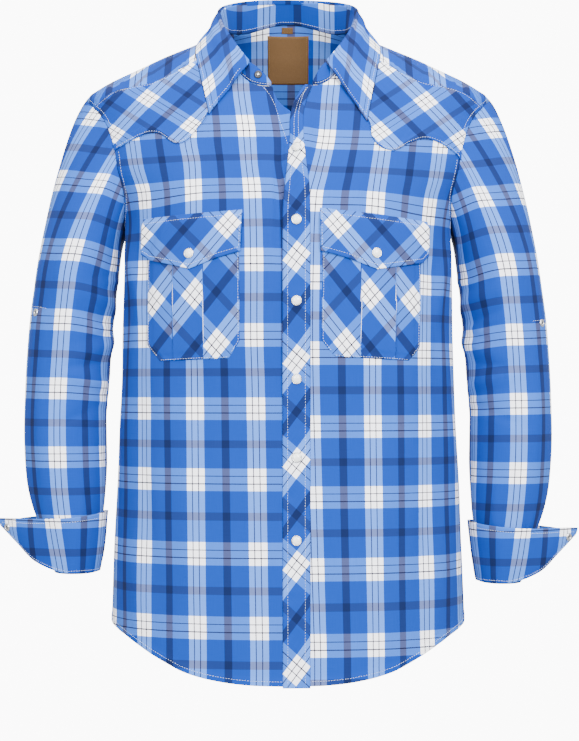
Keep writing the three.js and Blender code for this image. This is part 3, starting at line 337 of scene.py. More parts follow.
# Fills the space between four edges
def blendEdges(bottom, top, start, end, u, v):
    low, high, left, right = bottom(u), top(u), start(v), end(v)
    zero, one = np.zeros(1), np.ones(1)
    uu, vv = u[..., None], v[..., None]
    lowCorners = lerp(bottom(zero)[0], bottom(one)[0], uu)
    corners = lerp(lowCorners, lerp(top(zero)[0], top(one)[0], uu), vv)
    return lerp(low, high, vv) + lerp(left, right, uu) - corners


def yokeSeamPoint(side, at):
    rows = yokeRows[side]
    at = np.asarray(at, float)
    row = rowAt(rows, "at", at)
    end = armholeAt(side, armholeAngleAt(rows["z"][-1]))
    start = neckPoint(side, neckAtYoke)
    nearEnd = np.clip((at - 0.8) / 0.2, 0, None)**2
    nearStart = np.clip((0.15 - at) / 0.15, 0, None)**2
    point = bodyAtX(side * row["x"], row["z"], -1)
    x = lerp(lerp(point[..., 0], end[0], nearEnd), start[0], nearStart)
    z = lerp(lerp(point[..., 2], end[2], nearEnd), start[2], nearStart)
    result = bodyAtX(x, z, -1)
    result = np.where((at <= 0)[..., None], start, result)
    return np.where((at >= 1)[..., None], end, result)


def frontEdge(side, v):
    neckStart = 0 if side < 0 else leftFrontNeck
    corner = neckPoint(side, neckStart)
    low = lerp(hemRows["z"][0], armholeBottom, v / underarmShare)
    high = lerp(armholeBottom, corner[2], (v - underarmShare) / (neckShare - underarmShare))
    z = np.where(v < underarmShare, low, np.minimum(high, corner[2]))
    row = rowAt(openingRows, "z", z)
    x = row["under"] if side < 0 else row["right"] - placketSeamInset
    x = lerp(x, corner[0], np.clip((v - 0.88) / (neckShare - 0.88), 0, 1))
    below = np.stack([turnAt(x, z, -1), z], -1)
    along = np.clip((v - neckShare) / (1 - neckShare), 0, 1)
    point = neckPoint(side, lerp(neckStart, neckAtYoke, along))
    return np.where((v > neckShare)[..., None], turnAndHeight(point), below)


def wrapped(turn):
    return np.where(turn < 0, turn + 2 * math.pi, turn)


def panelSide(side, v, face, angleTop):
    below = np.stack([np.full(v.shape, side * sideSeam),
                      lerp(hemHeight(sideSeam), armholeBottom, v / underarmShare)], -1)
    climb = np.clip((v - underarmShare) / (1 - underarmShare), 0, 1)
    angle = lerp(math.pi, angleTop, climb)
    point = armholeAt(side, angle if face < 0 else 2 * math.pi - angle)
    result = np.where((v <= underarmShare)[..., None], below, turnAndHeight(point))
    if face > 0:
        result[..., 0] = wrapped(result[..., 0])
    return result


def shoulderPoint(side, at):
    at = np.asarray(at, float)
    row = rowAt(shoulderRows, "at", at)
    result = bodyAtX(side * row["x"], row["z"], -1)
    first = neckPoint(side, neckAtShoulder)
    last = armholeAt(side, armholeAngleAt(shoulderRows["z"][-1]))
    result = np.where((at <= 0)[..., None], first, result)
    return np.where((at >= 1)[..., None], last, result)


def dense(knots, count):
    return np.interp(np.linspace(0, len(knots) - 1, count), np.arange(len(knots)), knots)


def gridNormals(grid, closesRound=False):
    if closesRound:
        wrap = np.concatenate([grid[:, -2:-1], grid, grid[:, 1:2]], 1)
        across = wrap[:, 2:] - wrap[:, :-2]
    else:
        across = np.gradient(grid, axis=1)
    return unit(np.cross(across, np.gradient(grid, axis=0)))


# Length along the first axis, of one row of points or of many side by side
def runOf(points):
    steps = np.linalg.norm(np.diff(points, axis=0), axis=-1)
    return np.insert(np.cumsum(steps, 0), 0, 0, 0)


# Distance of each grid point from one side, measured along the cloth
def reachFrom(grid, side):
    if side in ("start", "end"):
        return reachFrom(grid.swapaxes(0, 1), "bottom" if side == "start" else "top").T
    return runOf(grid) if side == "bottom" else runOf(grid[::-1])[::-1]


# The felled seams and turned edges stand up a little, and the stitching draws ripples in
def seamRise(grid, sides, height=0.5, pucker=0.22, seed=0):
    rise = np.zeros(grid.shape[:2])
    for k, side in enumerate(sides):
        reach = reachFrom(grid, side)
        rise += height * (1 - ease((reach - seamWidth) / 2.5))
        along = reachFrom(grid, "start" if side in ("bottom", "top") else "bottom")
        wave = np.sin(along / 3.1 + 1.7 * k + seed + 1.4 * np.sin(along / 13 + seed)) \
            * (0.6 + 0.4 * np.sin(along / 23 + 2.1 * k + seed))
        rise += pucker * wave * np.exp(-((reach - 8) / 9)**2)
    return rise


# Cloth over the body, with its folds, its seams along some sides and its small unevenness
def onBody(base, lift, sides=(), seed=0, height=0.5, pucker=0.22):
    first = clothPoint(base, lift)
    rise = seamRise(first, sides, height=height, pucker=pucker, seed=seed) + restless(base)
    return raised(first, bodyNormal(base), rise)


# Plaid coordinates. A light band is centred on every whole repeat, across and down. The wearer's
# left front is sewn on some 20 mm lower than the right one.
bandHeights = {
    -1: table("z v", [
        (-10, 172), (-38, 141), (-72, 110), (-107.5, 80), (-177.6, 0), (-257.2, -80), (-339.9, -160),
        (-420.8, -240), (-498.7, -320), (-580, -400), (-661, -480), (-742, -560),
    ]),
    1: table("z v", [
        (-10, 196), (-38, 168), (-88, 116), (-123, 80), (-192, 0), (-276.9, -80), (-359.8, -160),
        (-440.5, -240), (-518, -320), (-597, -400), (-680, -480), (-762, -560),
    ]),
}
# Places across the front, from the middle, of the first three light bands at each height
bandPlaces = {
    -1: table("z first second third", [
        (-40, -54, -120, -186), (-64, -52.7, -116, -182), (-107, -46.6, -112, -178),
        (-125, -45, -111, -175), (-149, -43.1, -106.2, -171), (-183, -39.4, -104.6, -161),
        (-257, -37.3, -104, -160.5), (-341, -37.2, -103.8, -160.3), (-396, -35.7, -103, -160.3),
        (-690, -30.9, -99.1, -159.3),
    ]),
    1: table("z first second third", [
        (-40, 51, 116, 182), (-70, 47.2, 112, 178), (-123, 42.3, 106, 172), (-163, 33.4, 100, 166),
        (-186, 27.8, 97, 160), (-243, 24.7, 94.5, 155), (-351, 23.6, 93.3, 151.5),
        (-500, 27, 94.5, 152.5), (-690, 32.7, 97, 154.7),
    ]),
}


# Value of a table between its cells
def betweenCells(cells, row, column):
    row = np.clip(row, 0, cells.shape[0] - 1.001)
    column = np.clip(column, 0, cells.shape[1] - 1.001)
    i, j = row.astype(int), column.astype(int)
    a, b = row - i, column - j
    return lerp(lerp(cells[i, j], cells[i, j + 1], b), lerp(cells[i + 1, j], cells[i + 1, j + 1], b), a)


girthTurns = np.linspace(0, math.pi, 181)
girthHeights = np.arange(50, -761, -10.0)
girthRuns = runOf(bodyAt(girthTurns[:, None], girthHeights[None, :])).T


# Length round the body from the middle of the front
def girth(turn, z):
    return np.sign(turn) * betweenCells(girthRuns, (girthHeights[0] - z) / 10, np.abs(turn) / math.pi * 180)


def frontChart(base, side):
    z = base[..., 2]
    row = rowAt(bandPlaces[side], "z", z)
    runs = [girth(np.abs(turnOf(bodyAtX(row[name], z, -1))), z) for name in ("first", "second", "third")]
    along = side * girth(turnOf(base), z)
    u = np.where(along < runs[1], (along - runs[0]) / (runs[1] - runs[0]),
                 np.where(along < runs[2], 1 + (along - runs[1]) / (runs[2] - runs[1]),
                          2 + (along - runs[2]) / warpRepeat))
    armDroop = 12 * ease((np.abs(base[..., 0]) - 80) / 80) * np.exp(-((z + 235) / 60)**2)
    return np.stack([side * (u + 1) * warpRepeat, rowAt(bandHeights[side], "z", z)["v"] + armDroop], -1)


def backChart(base):
    z = base[..., 2]
    turn = wrapped(turnOf(base))
    fromCentre = girth(np.full(z.shape, math.pi), z) - girth(np.minimum(turn, 2 * math.pi - turn), z)
    u = np.sign(turn - math.pi) * fromCentre + warpRepeat / 2
    return np.stack([u, rowAt(bandHeights[-1], "z", z)["v"]], -1)


# A chart for a piece cut on the bias, from three crossings of light bands seen from the front:
# one, its neighbour along the warp's repeat and its neighbour along the weft's repeat
def biasChart(point, crossing, nextWarp, nextWeft):
    origin = np.array(crossing, float)
    basis = np.array([np.array(nextWarp) - origin, np.array(nextWeft) - origin]).T
    shares = (point[..., [0, 2]] - origin) @ np.linalg.inv(basis).T
    return shares * np.array([warpRepeat, weftRepeat])


# Materials. Base colours of the cloth, by the weft thread and then by the warp thread that cross
crossings = {
    "ground": {"ground": (0.0015, 0.035, 0.2576), "light": (0.0674, 0.187, 0.586),
               "navy": (0.005, 0.0155, 0.088), "line": (0.0158, 0.017, 0.0586)},
    "light": {"ground": (0.0277, 0.1177, 0.4714), "light": (0.9, 0.91, 0.97),
              "navy": (0.042, 0.0539, 0.1439), "line": (0.026, 0.0235, 0.05)},
    "navy": {"ground": (0.006, 0.0225, 0.13), "light": (0.0848, 0.1174, 0.2715),
             "navy": (0.0035, 0.009, 0.05), "line": (0.0099, 0.011, 0.0403)},
    "line": {"ground": (0.0143, 0.0181, 0.0586), "light": (0.028, 0.026, 0.05),
             "navy": (0.0067, 0.0075, 0.0272), "line": (0.008, 0.0057, 0.0113)},
}
# Widths in mm of the light band, of the navy band halfway between two, and of a thin line
warpBands = {"light": 19.2, "navy": 8.2, "line": 1.15}
weftBands = {"light": 24.7, "navy": 8.8, "line": 1.05}
linePlaces = (0.31, 0.66)


def setInput(tree, node, name, value):
    if isinstance(value, bpy.types.NodeSocket):
        tree.links.new(value, node.inputs[name])
    else:
        node.inputs[name].default_value = value


def addNode(tree, kind, inputs, operation=None):
    node = tree.nodes.new("ShaderNode" + kind)
    if operation:
        node.operation = operation
    for name, value in inputs.items():
        setInput(tree, node, name, value)
    return node


def newMaterial(name, inputs):
    material = bpy.data.materials.new(name)
    material.use_nodes = True
    for socket, value in inputs.items():
        setInput(material.node_tree, material.node_tree.nodes["Principled BSDF"], socket, value)
    return material


# Joins the stripes of one repeat into a ramp, coloured by the thread at each place
def stripeRamp(tree, share, repeat, bands, colors):
    ramp = addNode(tree, "ValToRGB", {0: share})
    ramp.color_ramp.interpolation = "CONSTANT"
    stops = []
    for place in linePlaces:
        centre = place * bands["light"]
        stops += [(centre - bands["line"] / 2, "line"), (centre + bands["line"] / 2, "light")]
    navyAt = (bands["light"] + repeat) / 2
    stops += [(bands["light"], "ground"), (navyAt - bands["navy"] / 2, "navy"),
              (navyAt + bands["navy"] / 2, "ground")]
    elements = ramp.color_ramp.elements
    elements.remove(elements[1])
    elements[0].position = 0
    elements[0].color = colors["light"] + (1,)
    for place, thread in stops:
        elements.new(place / repeat).color = colors[thread] + (1,)
    return ramp.outputs[0]


# Place in the repeat, from 0 at the near edge of a light band to 1
def shareOf(tree, source, repeat, band):
    shifted = addNode(tree, "Math", {0: source, 1: 1000 / repeat, 2: band / 2 / repeat}, "MULTIPLY_ADD")
    return addNode(tree, "Math", {0: shifted.outputs[0]}, "FRACT").outputs[0]


def plaidMaterial(name):
    material = newMaterial(name, {"Roughness": 0.9, "Specular IOR Level": 0.12, "Sheen Weight": 0.02,
                                  "Sheen Roughness": 0.5})
    tree = material.node_tree
    shader = tree.nodes["Principled BSDF"]
    cloth = tree.nodes.new("ShaderNodeUVMap")
    cloth.uv_map = "cloth"
    parts = addNode(tree, "SeparateXYZ", {0: cloth.outputs[0]})
    across = shareOf(tree, parts.outputs["X"], warpRepeat, warpBands["light"])
    down = shareOf(tree, parts.outputs["Y"], weftRepeat, weftBands["light"])
    color = stripeRamp(tree, across, warpRepeat, warpBands, crossings["ground"])
    for thread in ("light", "navy", "line"):
        only = {other: (1.0,) * 3 if other == thread else (0.0,) * 3 for other in crossings}
        mixed = tree.nodes.new("ShaderNodeMix")
        mixed.data_type = "RGBA"
        setInput(tree, mixed, "Factor", stripeRamp(tree, down, weftRepeat, weftBands, only))
        setInput(tree, mixed, "A", color)
        setInput(tree, mixed, "B", stripeRamp(tree, across, warpRepeat, warpBands, crossings[thread]))
        color = mixed.outputs["Result"]
    # uneven threads, both ways
    threads = []
    for scale in ((2600, 45, 1), (45, 2600, 1)):
        stretch = addNode(tree, "VectorMath", {0: cloth.outputs[0], 1: scale}, "MULTIPLY")
        noise = addNode(tree, "TexNoise", {"Scale": 1, "Detail": 2, "Vector": stretch.outputs[0]})
        threads.append(noise.outputs["Fac"])
    tone = addNode(tree, "Math", {0: threads[0], 1: threads[1]}, "ADD").outputs[0]
    level = addNode(tree, "MapRange", {"Value": tone, "From Min": 0.6, "From Max": 1.4,
                                       "To Min": 0.9, "To Max": 1.1})
    shaded = addNode(tree, "VectorMath", {0: color, "Scale": level.outputs[0]}, "SCALE")
    bump = addNode(tree, "Bump", {"Strength": 0.25, "Distance": 0.0002, "Height": tone})
    setInput(tree, shader, "Base Color", shaded.outputs[0])
    setInput(tree, shader, "Normal", bump.outputs[0])
    return material


def plainMaterial(name, color, roughness, metallic=0.0, coat=0.0, specular=0.5):
    return newMaterial(name, {"Base Color": color + (1,), "Roughness": roughness, "Metallic": metallic,
                              "Coat Weight": coat, "Specular IOR Level": specular})


# Gives a plain finish two tones in a fine noise, and a grain if its strength is given
def mottled(material, tones, noise, grain=0):
    tree = material.node_tree
    shader = tree.nodes["Principled BSDF"]
    place = tree.nodes.new("ShaderNodeTexCoord")
    spots = addNode(tree, "TexNoise", {"Vector": place.outputs["Object"], **noise}).outputs["Fac"]
    ramp = addNode(tree, "ValToRGB", {0: spots})
    for element, tone in zip(ramp.color_ramp.elements, tones):
        element.color = tone + (1,)
    setInput(tree, shader, "Base Color", ramp.outputs[0])
    if grain:
        bump = addNode(tree, "Bump", {"Strength": grain, "Distance": 0.0003, "Height": spots})
        setInput(tree, shader, "Normal", bump.outputs[0])
    return material


finishes = {
    "plaid": plaidMaterial("plaid"),
    "biasPlaid": plaidMaterial("biasPlaid"),
    "thread": plainMaterial("thread", (0.6, 0.68, 0.86), 0.7, specular=0.3),
    "tanThread": plainMaterial("tanThread", (0.16, 0.095, 0.04), 0.7, specular=0.3),
    "pearl": mottled(plainMaterial("pearl", (0.86, 0.86, 0.83), 0.22, coat=0.6),
                     ((0.7, 0.72, 0.7), (0.93, 0.92, 0.88)), {"Scale": 260, "Distortion": 1.6}),
    "steel": plainMaterial("steel", (0.55, 0.56, 0.58), 0.26, metallic=1.0),
    # steel darkened as painted shade, for the socket wells and the neck stud's ring in the shade under the
    # collar
    "steelWithPaintedShade": plainMaterial("steelWithPaintedShade", (0.05, 0.05, 0.055), 0.4, metallic=0.8),
    "patch": mottled(plainMaterial("patch", (0.27, 0.15, 0.065), 0.8, specular=0.2),
                     ((0.075, 0.038, 0.014), (0.125, 0.068, 0.026)), {"Scale": 900, "Detail": 5}, grain=0.3),
    "backdrop": plainMaterial("backdrop", (1.0, 1.0, 1.0), 0.95),
}
slotFinishes = {"plaid_cotton": "plaid", "plaid_bias_trim": "biasPlaid", "brown_patch": "patch"}


def gridFaces(grid):
    rows, columns = grid.shape[:2]
    index = np.arange(rows * columns).reshape(rows, columns)
    corners = [index[:-1, :-1], index[:-1, 1:], index[1:, 1:], index[1:, :-1]]
    return np.stack(corners, -1).reshape(-1, 4)


def addPiece(name, vertices, faces, finish):
    mesh = bpy.data.meshes.new(name)
    mesh.from_pydata(vertices, [], faces)
    mesh.polygons.foreach_set("use_smooth", [True] * len(mesh.polygons))
    mesh.materials.append(finishes[finish])
    piece = bpy.data.objects.new(name, mesh)
    bpy.context.scene.collection.objects.link(piece)
    return piece


# A stitch: its pointed ends, its full part and the section of that, across and up
stitch = {"end": 1.15, "endDown": 0.1, "full": 0.7,
          "section": ((-0.18, 0.02), (0, 0.22), (0.18, 0.02), (0, -0.12)), "lookAhead": 0.8}


def alongRun(points, run, places):
    return np.stack([np.interp(places, run, points[:, k]) for k in range(points.shape[1])], -1)


# White topstitching: short rounded stitches along lines of points with normals
def stitches(name, lines, finish="thread", pitch=stitchPitch, size=1.0):
    vertices, faces = [], []
    for line in lines:
        run = runOf(line[:, :3])
        count = int(run[-1] / pitch)
        centres = (np.arange(count) + 0.5) * run[-1] / count
        ahead = alongRun(line[:, :3], run, centres + stitch["lookAhead"])
        back = alongRun(line[:, :3], run, centres - stitch["lookAhead"])
        placed = alongRun(line, run, centres)
        along, up = unit(ahead - back), unit(placed[:, 3:])
        for c, t, s, n in zip(placed[:, :3], along, unit(np.cross(along, up)), up):
            first = len(vertices)
            vertices.append(c - t * stitch["end"] * size - n * stitch["endDown"])
            for end in (-stitch["full"], stitch["full"]):
                vertices += [c + t * end * size + s * a * size + n * h * size for a, h in stitch["section"]]
            vertices.append(c + t * stitch["end"] * size - n * stitch["endDown"])
            for k in range(4):
                m = (k + 1) % 4
                faces.append((first, first + 1 + m, first + 1 + k))
                faces.append((first + 1 + k, first + 1 + m, first + 5 + m, first + 5 + k))
                faces.append((first + 9, first + 5 + k, first + 5 + m))
    piece = addPiece(name, (np.array(vertices) * mm).tolist(), faces, finish)
    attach(piece, "root")
    return piece


# The line at a distance in from one side of a grid, cut short at its ends
def insetLine(grid, side, distance, trim, normals=None):
    lines = np.concatenate([grid, gridNormals(grid) if normals is None else normals], 2)
    if side in ("start", "end"):
        lines = lines.transpose(1, 0, 2)
    if side in ("top", "end"):
        lines = lines[::-1]
    run = runOf(lines[..., :3])
    line = np.array([alongRun(lines[:, c], run[:, c], distance) for c in range(lines.shape[1])])
    length = runOf(line[:, :3])
    return alongRun(line, length, np.linspace(trim[0], length[-1] - trim[1], len(line)))


# Stitch lines by side: the distance in from the side, then what is left free at each end
def seamLines(grid, rows):
    return [insetLine(grid, side, inset, trim) for side, (inset, *trim) in rows.items()]


built = {}


# Makes a grid of cloth with its thickness inwards and its stitches
def clothPiece(name, node, grid, chart, slot, lines, thickness=clothThickness,
               sewing=None):
    faces = gridFaces(grid)
    piece = addPiece(name, (grid.reshape(-1, 3) * mm).tolist(), faces.tolist(), slotFinishes[slot])
    layer = piece.data.uv_layers.new(name="cloth")
    layer.data.foreach_set("uv", (chart.reshape(-1, 2)[faces.reshape(-1)] * mm).ravel())
    solid = piece.modifiers.new("thickness", "SOLIDIFY")
    solid.thickness = thickness * mm
    solid.offset = -1
    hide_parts(node)
    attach(piece, "root")
    sewn = stitches(name + "_stitches", lines, **(sewing or {}))
    built[name] = grid


def padEnds(points):
    return np.concatenate([2 * points[:1] - points[1:2], points, 2 * points[-1:] - points[-2:-1]])


# Smooth curve through points along the first axis, as many points as asked
def through(points, count):
    points = np.asarray(points, float)
    last = len(points) - 1
    padded = padEnds(points)
    place = np.linspace(0, last, count)
    i = np.minimum(place.astype(int), last - 1)
    t = (place - i).reshape((-1,) + (1,) * (points.ndim - 1))
    a, b, c, d = padded[i], padded[i + 1], padded[i + 2], padded[i + 3]
    return 0.5 * (2 * b + (c - a) * t + (2 * a - 5 * b + 4 * c - d) * t**2
                  + (3 * b - a - 3 * c + d) * t**3)


def gridTree(grid):
    return BVHTree.FromPolygons([tuple(p) for p in grid.reshape(-1, 3)], gridFaces(grid).tolist())


# Where a line from the front meets a cloth
def seat(tree, x, z, fromY=-400):
    place, normal, _, _ = tree.ray_cast(Vector((x, fromY, z)), Vector((0, 1, 0)))
    return place, -normal if normal.y > 0 else normal


def alongRow(grid, row):
    return np.broadcast_to(reachFrom(grid, "start")[row], grid.shape[:2])


def facingBack(grid):
    rows, columns = grid.shape[:2]
    return grid if gridNormals(grid)[rows // 2, columns // 2, 1] > 0 else grid[:, ::-1]


bothSides = ((-1, "right"), (1, "left"))

# Fronts
fronts = {
    "columns": 80, "rows": 220,
    "knots": [0, 0.012, 0.07, 0.14, 0.21, 0.28, 0.35, 0.42, 0.48, 0.54, 0.59, 0.64,
              0.68, 0.73, 0.78, 0.83, 0.88, 0.93, 1],
    "hemStitches": (stitchInset, 2, 2),
    "armStitches": (5.5, 455, 3),  # none along the side seam, 455 long
    "neckStitches": [(-29, -58.2), (-19.4, -71.6), (-13.6, -85), (-9.5, -99.5), (-4.5, -114),
                     (-0.5, -128.6)],
    "flat": (0.30, 0.70),
}


def frontPanel(side):
    angleTop = float(armholeAngleAt(yokeRows[side]["z"][-1]))
    edgeTurn = float(frontEdge(side, np.zeros(1))[0, 0])

    def hem(u):
        turn = lerp(edgeTurn, side * sideSeam, u)
        return np.stack([turn, hemHeight(turn)], -1)

    u, v = np.meshgrid(np.linspace(0, 1, fronts["columns"]), dense(fronts["knots"], fronts["rows"]))
    patch = blendEdges(hem, lambda t: turnAndHeight(yokeSeamPoint(side, t)),
                       lambda t: frontEdge(side, t), lambda t: panelSide(side, t, -1, angleTop), u, v)
    base = bodyAt(patch[..., 0], patch[..., 1])
    return base if side > 0 else base[:, ::-1]


# The wearer's right front sinks beside the placket, which lies over it
def openingDent(point):
    x, z = point[..., 0], point[..., 2]
    deep = 5.5 * np.exp(-((z + 190) / 60)**2) + 2.5 * np.exp(-((z + 330) / 110)**2)
    return -deep * np.exp(-((x + 9.5) / 5.5)**2)


for side, word in bothSides:
    base = frontPanel(side)
    grid = onBody(base, 0.0, sides=("bottom",), seed=side, height=0.35)
    if side < 0:
        grid = raised(grid, bodyNormal(base), openingDent(base))
    lines = seamLines(grid, {"bottom": fronts["hemStitches"],
                             "start" if side < 0 else "end": fronts["armStitches"]})
    if side < 0:
        places = through(fronts["neckStitches"], 60)
        seam = bodyAtX(places[:, 0], places[:, 1], -1)
        normal = bodyNormal(seam)
        seam = raised(seam, normal, foldRise(seam) + restless(seam) + openingDent(seam))
        lines.append(np.concatenate([seam, normal], 1))
    clothPiece("front_panel_" + word, "front_" + word, grid, frontChart(base, side), "plaid_cotton",
               lines)
print("fronts done")

# Front yokes on the bias: a crossing of light bands, the next along the warp's and the weft's repeat
frontYokes = {
    "crossings": {-1: ((-157.9, -70.9), (-106.9, -105.2), (-197, -109.7)),
                  1: ((155, -74.8), (102, -112.2), (196, -116.7))},
    "columns": 100, "rows": 60, "lift": 0.5,
    "seamStitches": (2.2, 3, 3), "topStitches": (2.0, 3, 3), "armStitches": (5.5, 1, 1),
    "flat": (0.19, 0.14),
}


def frontYoke(side):
    lowAngle = float(armholeAngleAt(yokeRows[side]["z"][-1]))
    highAngle = float(armholeAngleAt(shoulderRows["z"][-1]))
    u, v = np.meshgrid(np.linspace(0, 1, frontYokes["columns"]), np.linspace(0, 1, frontYokes["rows"]))
    patch = blendEdges(
        lambda t: yokeSeamPoint(side, t),
        lambda t: shoulderPoint(side, t),
        lambda t: neckPoint(side, lerp(neckAtYoke, neckAtShoulder, t)),
        lambda t: armholeAt(side, lerp(lowAngle, highAngle, t)), u, v)
    base = throwOut(vec(patch[..., 0] * 0.85, 10, -150), patch)
    return base if side > 0 else base[:, ::-1]


for side, word in bothSides:
    base = frontYoke(side)
    grid = onBody(base, frontYokes["lift"], sides=("bottom", "top"), seed=2 + side, height=0.5)
    grid = raised(grid, bodyNormal(base), 0.25 * ease(reachFrom(grid, "bottom") / 6))
    lines = seamLines(grid, {"bottom": frontYokes["seamStitches"], "top": frontYokes["topStitches"],
                             "start" if side < 0 else "end": frontYokes["armStitches"]})
    clothPiece("yoke_front_" + word, "front_yoke_" + word, grid,
               biasChart(base, *frontYokes["crossings"][side]), "plaid_bias_trim",
               lines)
print("front yokes done")

# Back panel
back = {
    "columns": 140, "rows": 180,
    "knots": [0, 0.012, 0.09, 0.18, 0.27, 0.36, 0.44, 0.52, 0.6, 0.68, 0.76, 0.84, 0.92, 1],
    "stitches": {"bottom": (stitchInset, 2, 2)}, "flat": (0.56, 0.62),
}


def backSeamPoint(u):
    side = np.where(u < 0.5, 1, -1)
    at = np.abs(u - 0.5) * 2
    row = rowAt(backYokeRows, "at", at)
    angle = armholeAngleAt(backYokeRows["z"][-1])
    end = armholeAt(1, 2 * math.pi - angle) * vec(side, 1, 1)
    result = bodyAtX(side * row["x"], row["z"], 1)
    return np.where((at >= 1)[..., None], end, result)


def backPanel():
    angleTop = float(armholeAngleAt(backYokeRows["z"][-1]))

    def hem(u):
        turn = lerp(sideSeam, 2 * math.pi - sideSeam, u)
        return np.stack([turn, hemHeight(np.where(turn > math.pi, 2 * math.pi - turn, turn))], -1)

    def seam(u):
        result = turnAndHeight(backSeamPoint(u))
        result[..., 0] = wrapped(result[..., 0])
        return result

    u, v = np.meshgrid(np.linspace(0, 1, back["columns"]), dense(back["knots"], back["rows"]))
    patch = blendEdges(hem, seam, lambda t: panelSide(1, t, 1, angleTop),
                       lambda t: panelSide(-1, t, 1, angleTop), u, v)
    return bodyAt(patch[..., 0], patch[..., 1])


base = backPanel()
grid = onBody(base, 0.0, sides=("bottom",), seed=7, height=0.35)
clothPiece("back_body", "back_panel", grid, backChart(base), "plaid_cotton",
           seamLines(grid, back["stitches"]))

# Back yoke, with the places across it of its light bands and the height of the band inside the neck
yoke = {
    "shoulderShare": 0.3, "shoulderColumns": 50, "neckColumns": 60, "rows": 80, "lift": 0.5,
    "lightPlaces": [-238.6, -170.7, -34.1, 41.1, 169.7, 237.6], "lightRepeats": [-3, -2, 0, 1, 3, 4],
    "insideBandHeight": 31.9, "bandReach": 195,
    "stitches": {"bottom": (2.2, 3, 3), "start": (5.5, 1, 1), "end": (5.5, 1, 1)},
    "flat": (0.52, 0.22),
}


def backYokeTop(u):
    side = np.where(u < 0.5, 1, -1)
    fromArmhole = 0.5 - np.abs(u - 0.5)
    share = yoke["shoulderShare"]
    shoulder = shoulderPoint(1, 1 - fromArmhole / share)
    around = neckPoint(1, lerp(neckAtShoulder, 1, (fromArmhole - share) / (0.5 - share)))
    point = np.where((fromArmhole <= share)[..., None], shoulder, around)
    return point * vec(side, 1, 1)


def backYoke():
    lowAngle = float(armholeAngleAt(backYokeRows["z"][-1]))
    highAngle = float(armholeAngleAt(shoulderRows["z"][-1]))
    half = np.concatenate([np.linspace(0, yoke["shoulderShare"], yoke["shoulderColumns"]),
                           np.linspace(yoke["shoulderShare"], 0.5, yoke["neckColumns"])[1:]])
    columns = np.concatenate([half, 1 - half[:-1][::-1]])
    u, v = np.meshgrid(columns, np.linspace(0, 1, yoke["rows"]))
    low, high = backSeamPoint(u), backYokeTop(u)
    chord = lerp(low, high, v[..., None])
    base = throwOut(vec(chord[..., 0] * 0.78, 14, -185), chord)
    ends = armholeAt(1, lerp(-lowAngle, highAngle, v))
    for here, edge in ((u <= 0, ends), (u >= 1, ends * vec(-1, 1, 1)), (v <= 0, low), (v >= 1, high)):
        base = np.where(here[..., None], edge, base)
    return base


# Length over the shoulder at one distance from the middle, from the back seam forwards
def overShoulder(base):
    heights = np.arange(-170, 48.1, 2.0)
    places = np.arange(0, 236, 5.0)
    runs = {face: runOf(bodyAtX(places[None, :], heights[:, None], face)) for face in (1, -1)}

    def run(face, x, z):
        return betweenCells(runs[face], (z - heights[0]) / 2, np.abs(x) / 5)

    x, y, z = base[..., 0], base[..., 1], base[..., 2]
    ridge = rowAt(bodyRows, "z", z)["ridge"]
    top = np.interp(np.abs(x), bodyRows["half"][:10], bodyRows["z"][:10])
    ahead = run(1, x, top) + run(-1, x, top) - run(-1, x, z)
    return np.where(y > ridge, run(1, x, z), ahead)


base = backYoke()
grid = onBody(base, yoke["lift"], sides=("bottom",), seed=9, height=0.5)
reach = overShoulder(base)
across = np.interp(base[..., 0], yoke["lightPlaces"], np.array(yoke["lightRepeats"]) * warpRepeat)
middle = base.shape[1] // 2
atNeck = float(np.interp(yoke["insideBandHeight"], base[:, middle, 2], reach[:, middle])) - yoke["bandReach"]
shift = round(atNeck / weftRepeat) * weftRepeat - atNeck
down = reach - yoke["bandReach"] + shift * (1 - ease((np.abs(base[..., 0]) - 60) / 60))
clothPiece("shoulder_yoke", "back_yoke", grid, np.stack([across, down], -1), "plaid_cotton",
           seamLines(grid, yoke["stitches"]))
print("back done")

# Placket, a bias strip over the opening with turned-in edges
placket = {
    "columns": 22, "rows": 420, "top": -59.5, "belowHem": 2, "lift": 1.3, "thickness": 1.0,
    "knots": [0, 0.05, 0.13, 0.21, 0.29, 0.37, 0.45, 0.53, 0.61, 0.68, 0.74, 0.79, 0.83, 0.865,
              0.895, 0.925, 0.95, 0.975, 1],
    "crossings": ((9.4, -254), (59.4, -299), (-40.6, -322)),
    "stitches": {"start": (6, 5, 4), "end": (6, 5, 4)}, "flat": (0.031, 0.70),
}
u, v = np.meshgrid(np.linspace(0, 1, placket["columns"]), dense(placket["knots"], placket["rows"]))
z = lerp(hemRows["z"][0] - placket["belowHem"], placket["top"], v)
row = rowAt(openingRows, "z", z)
base = bodyAtX(lerp(row["left"], row["right"], u), z, -1)
grid = onBody(base, placket["lift"], sides=("start", "end"), seed=11, height=0.15)
roll = sum(-0.9 * (1 - ease(reachFrom(grid, side) / 1.2)) for side in ("start", "end"))
grid = raised(grid, bodyNormal(base), roll)
clothPiece("placket_strip", "placket", grid, biasChart(base, *placket["crossings"]), "plaid_bias_trim",
           seamLines(grid, placket["stitches"]), thickness=placket["thickness"])

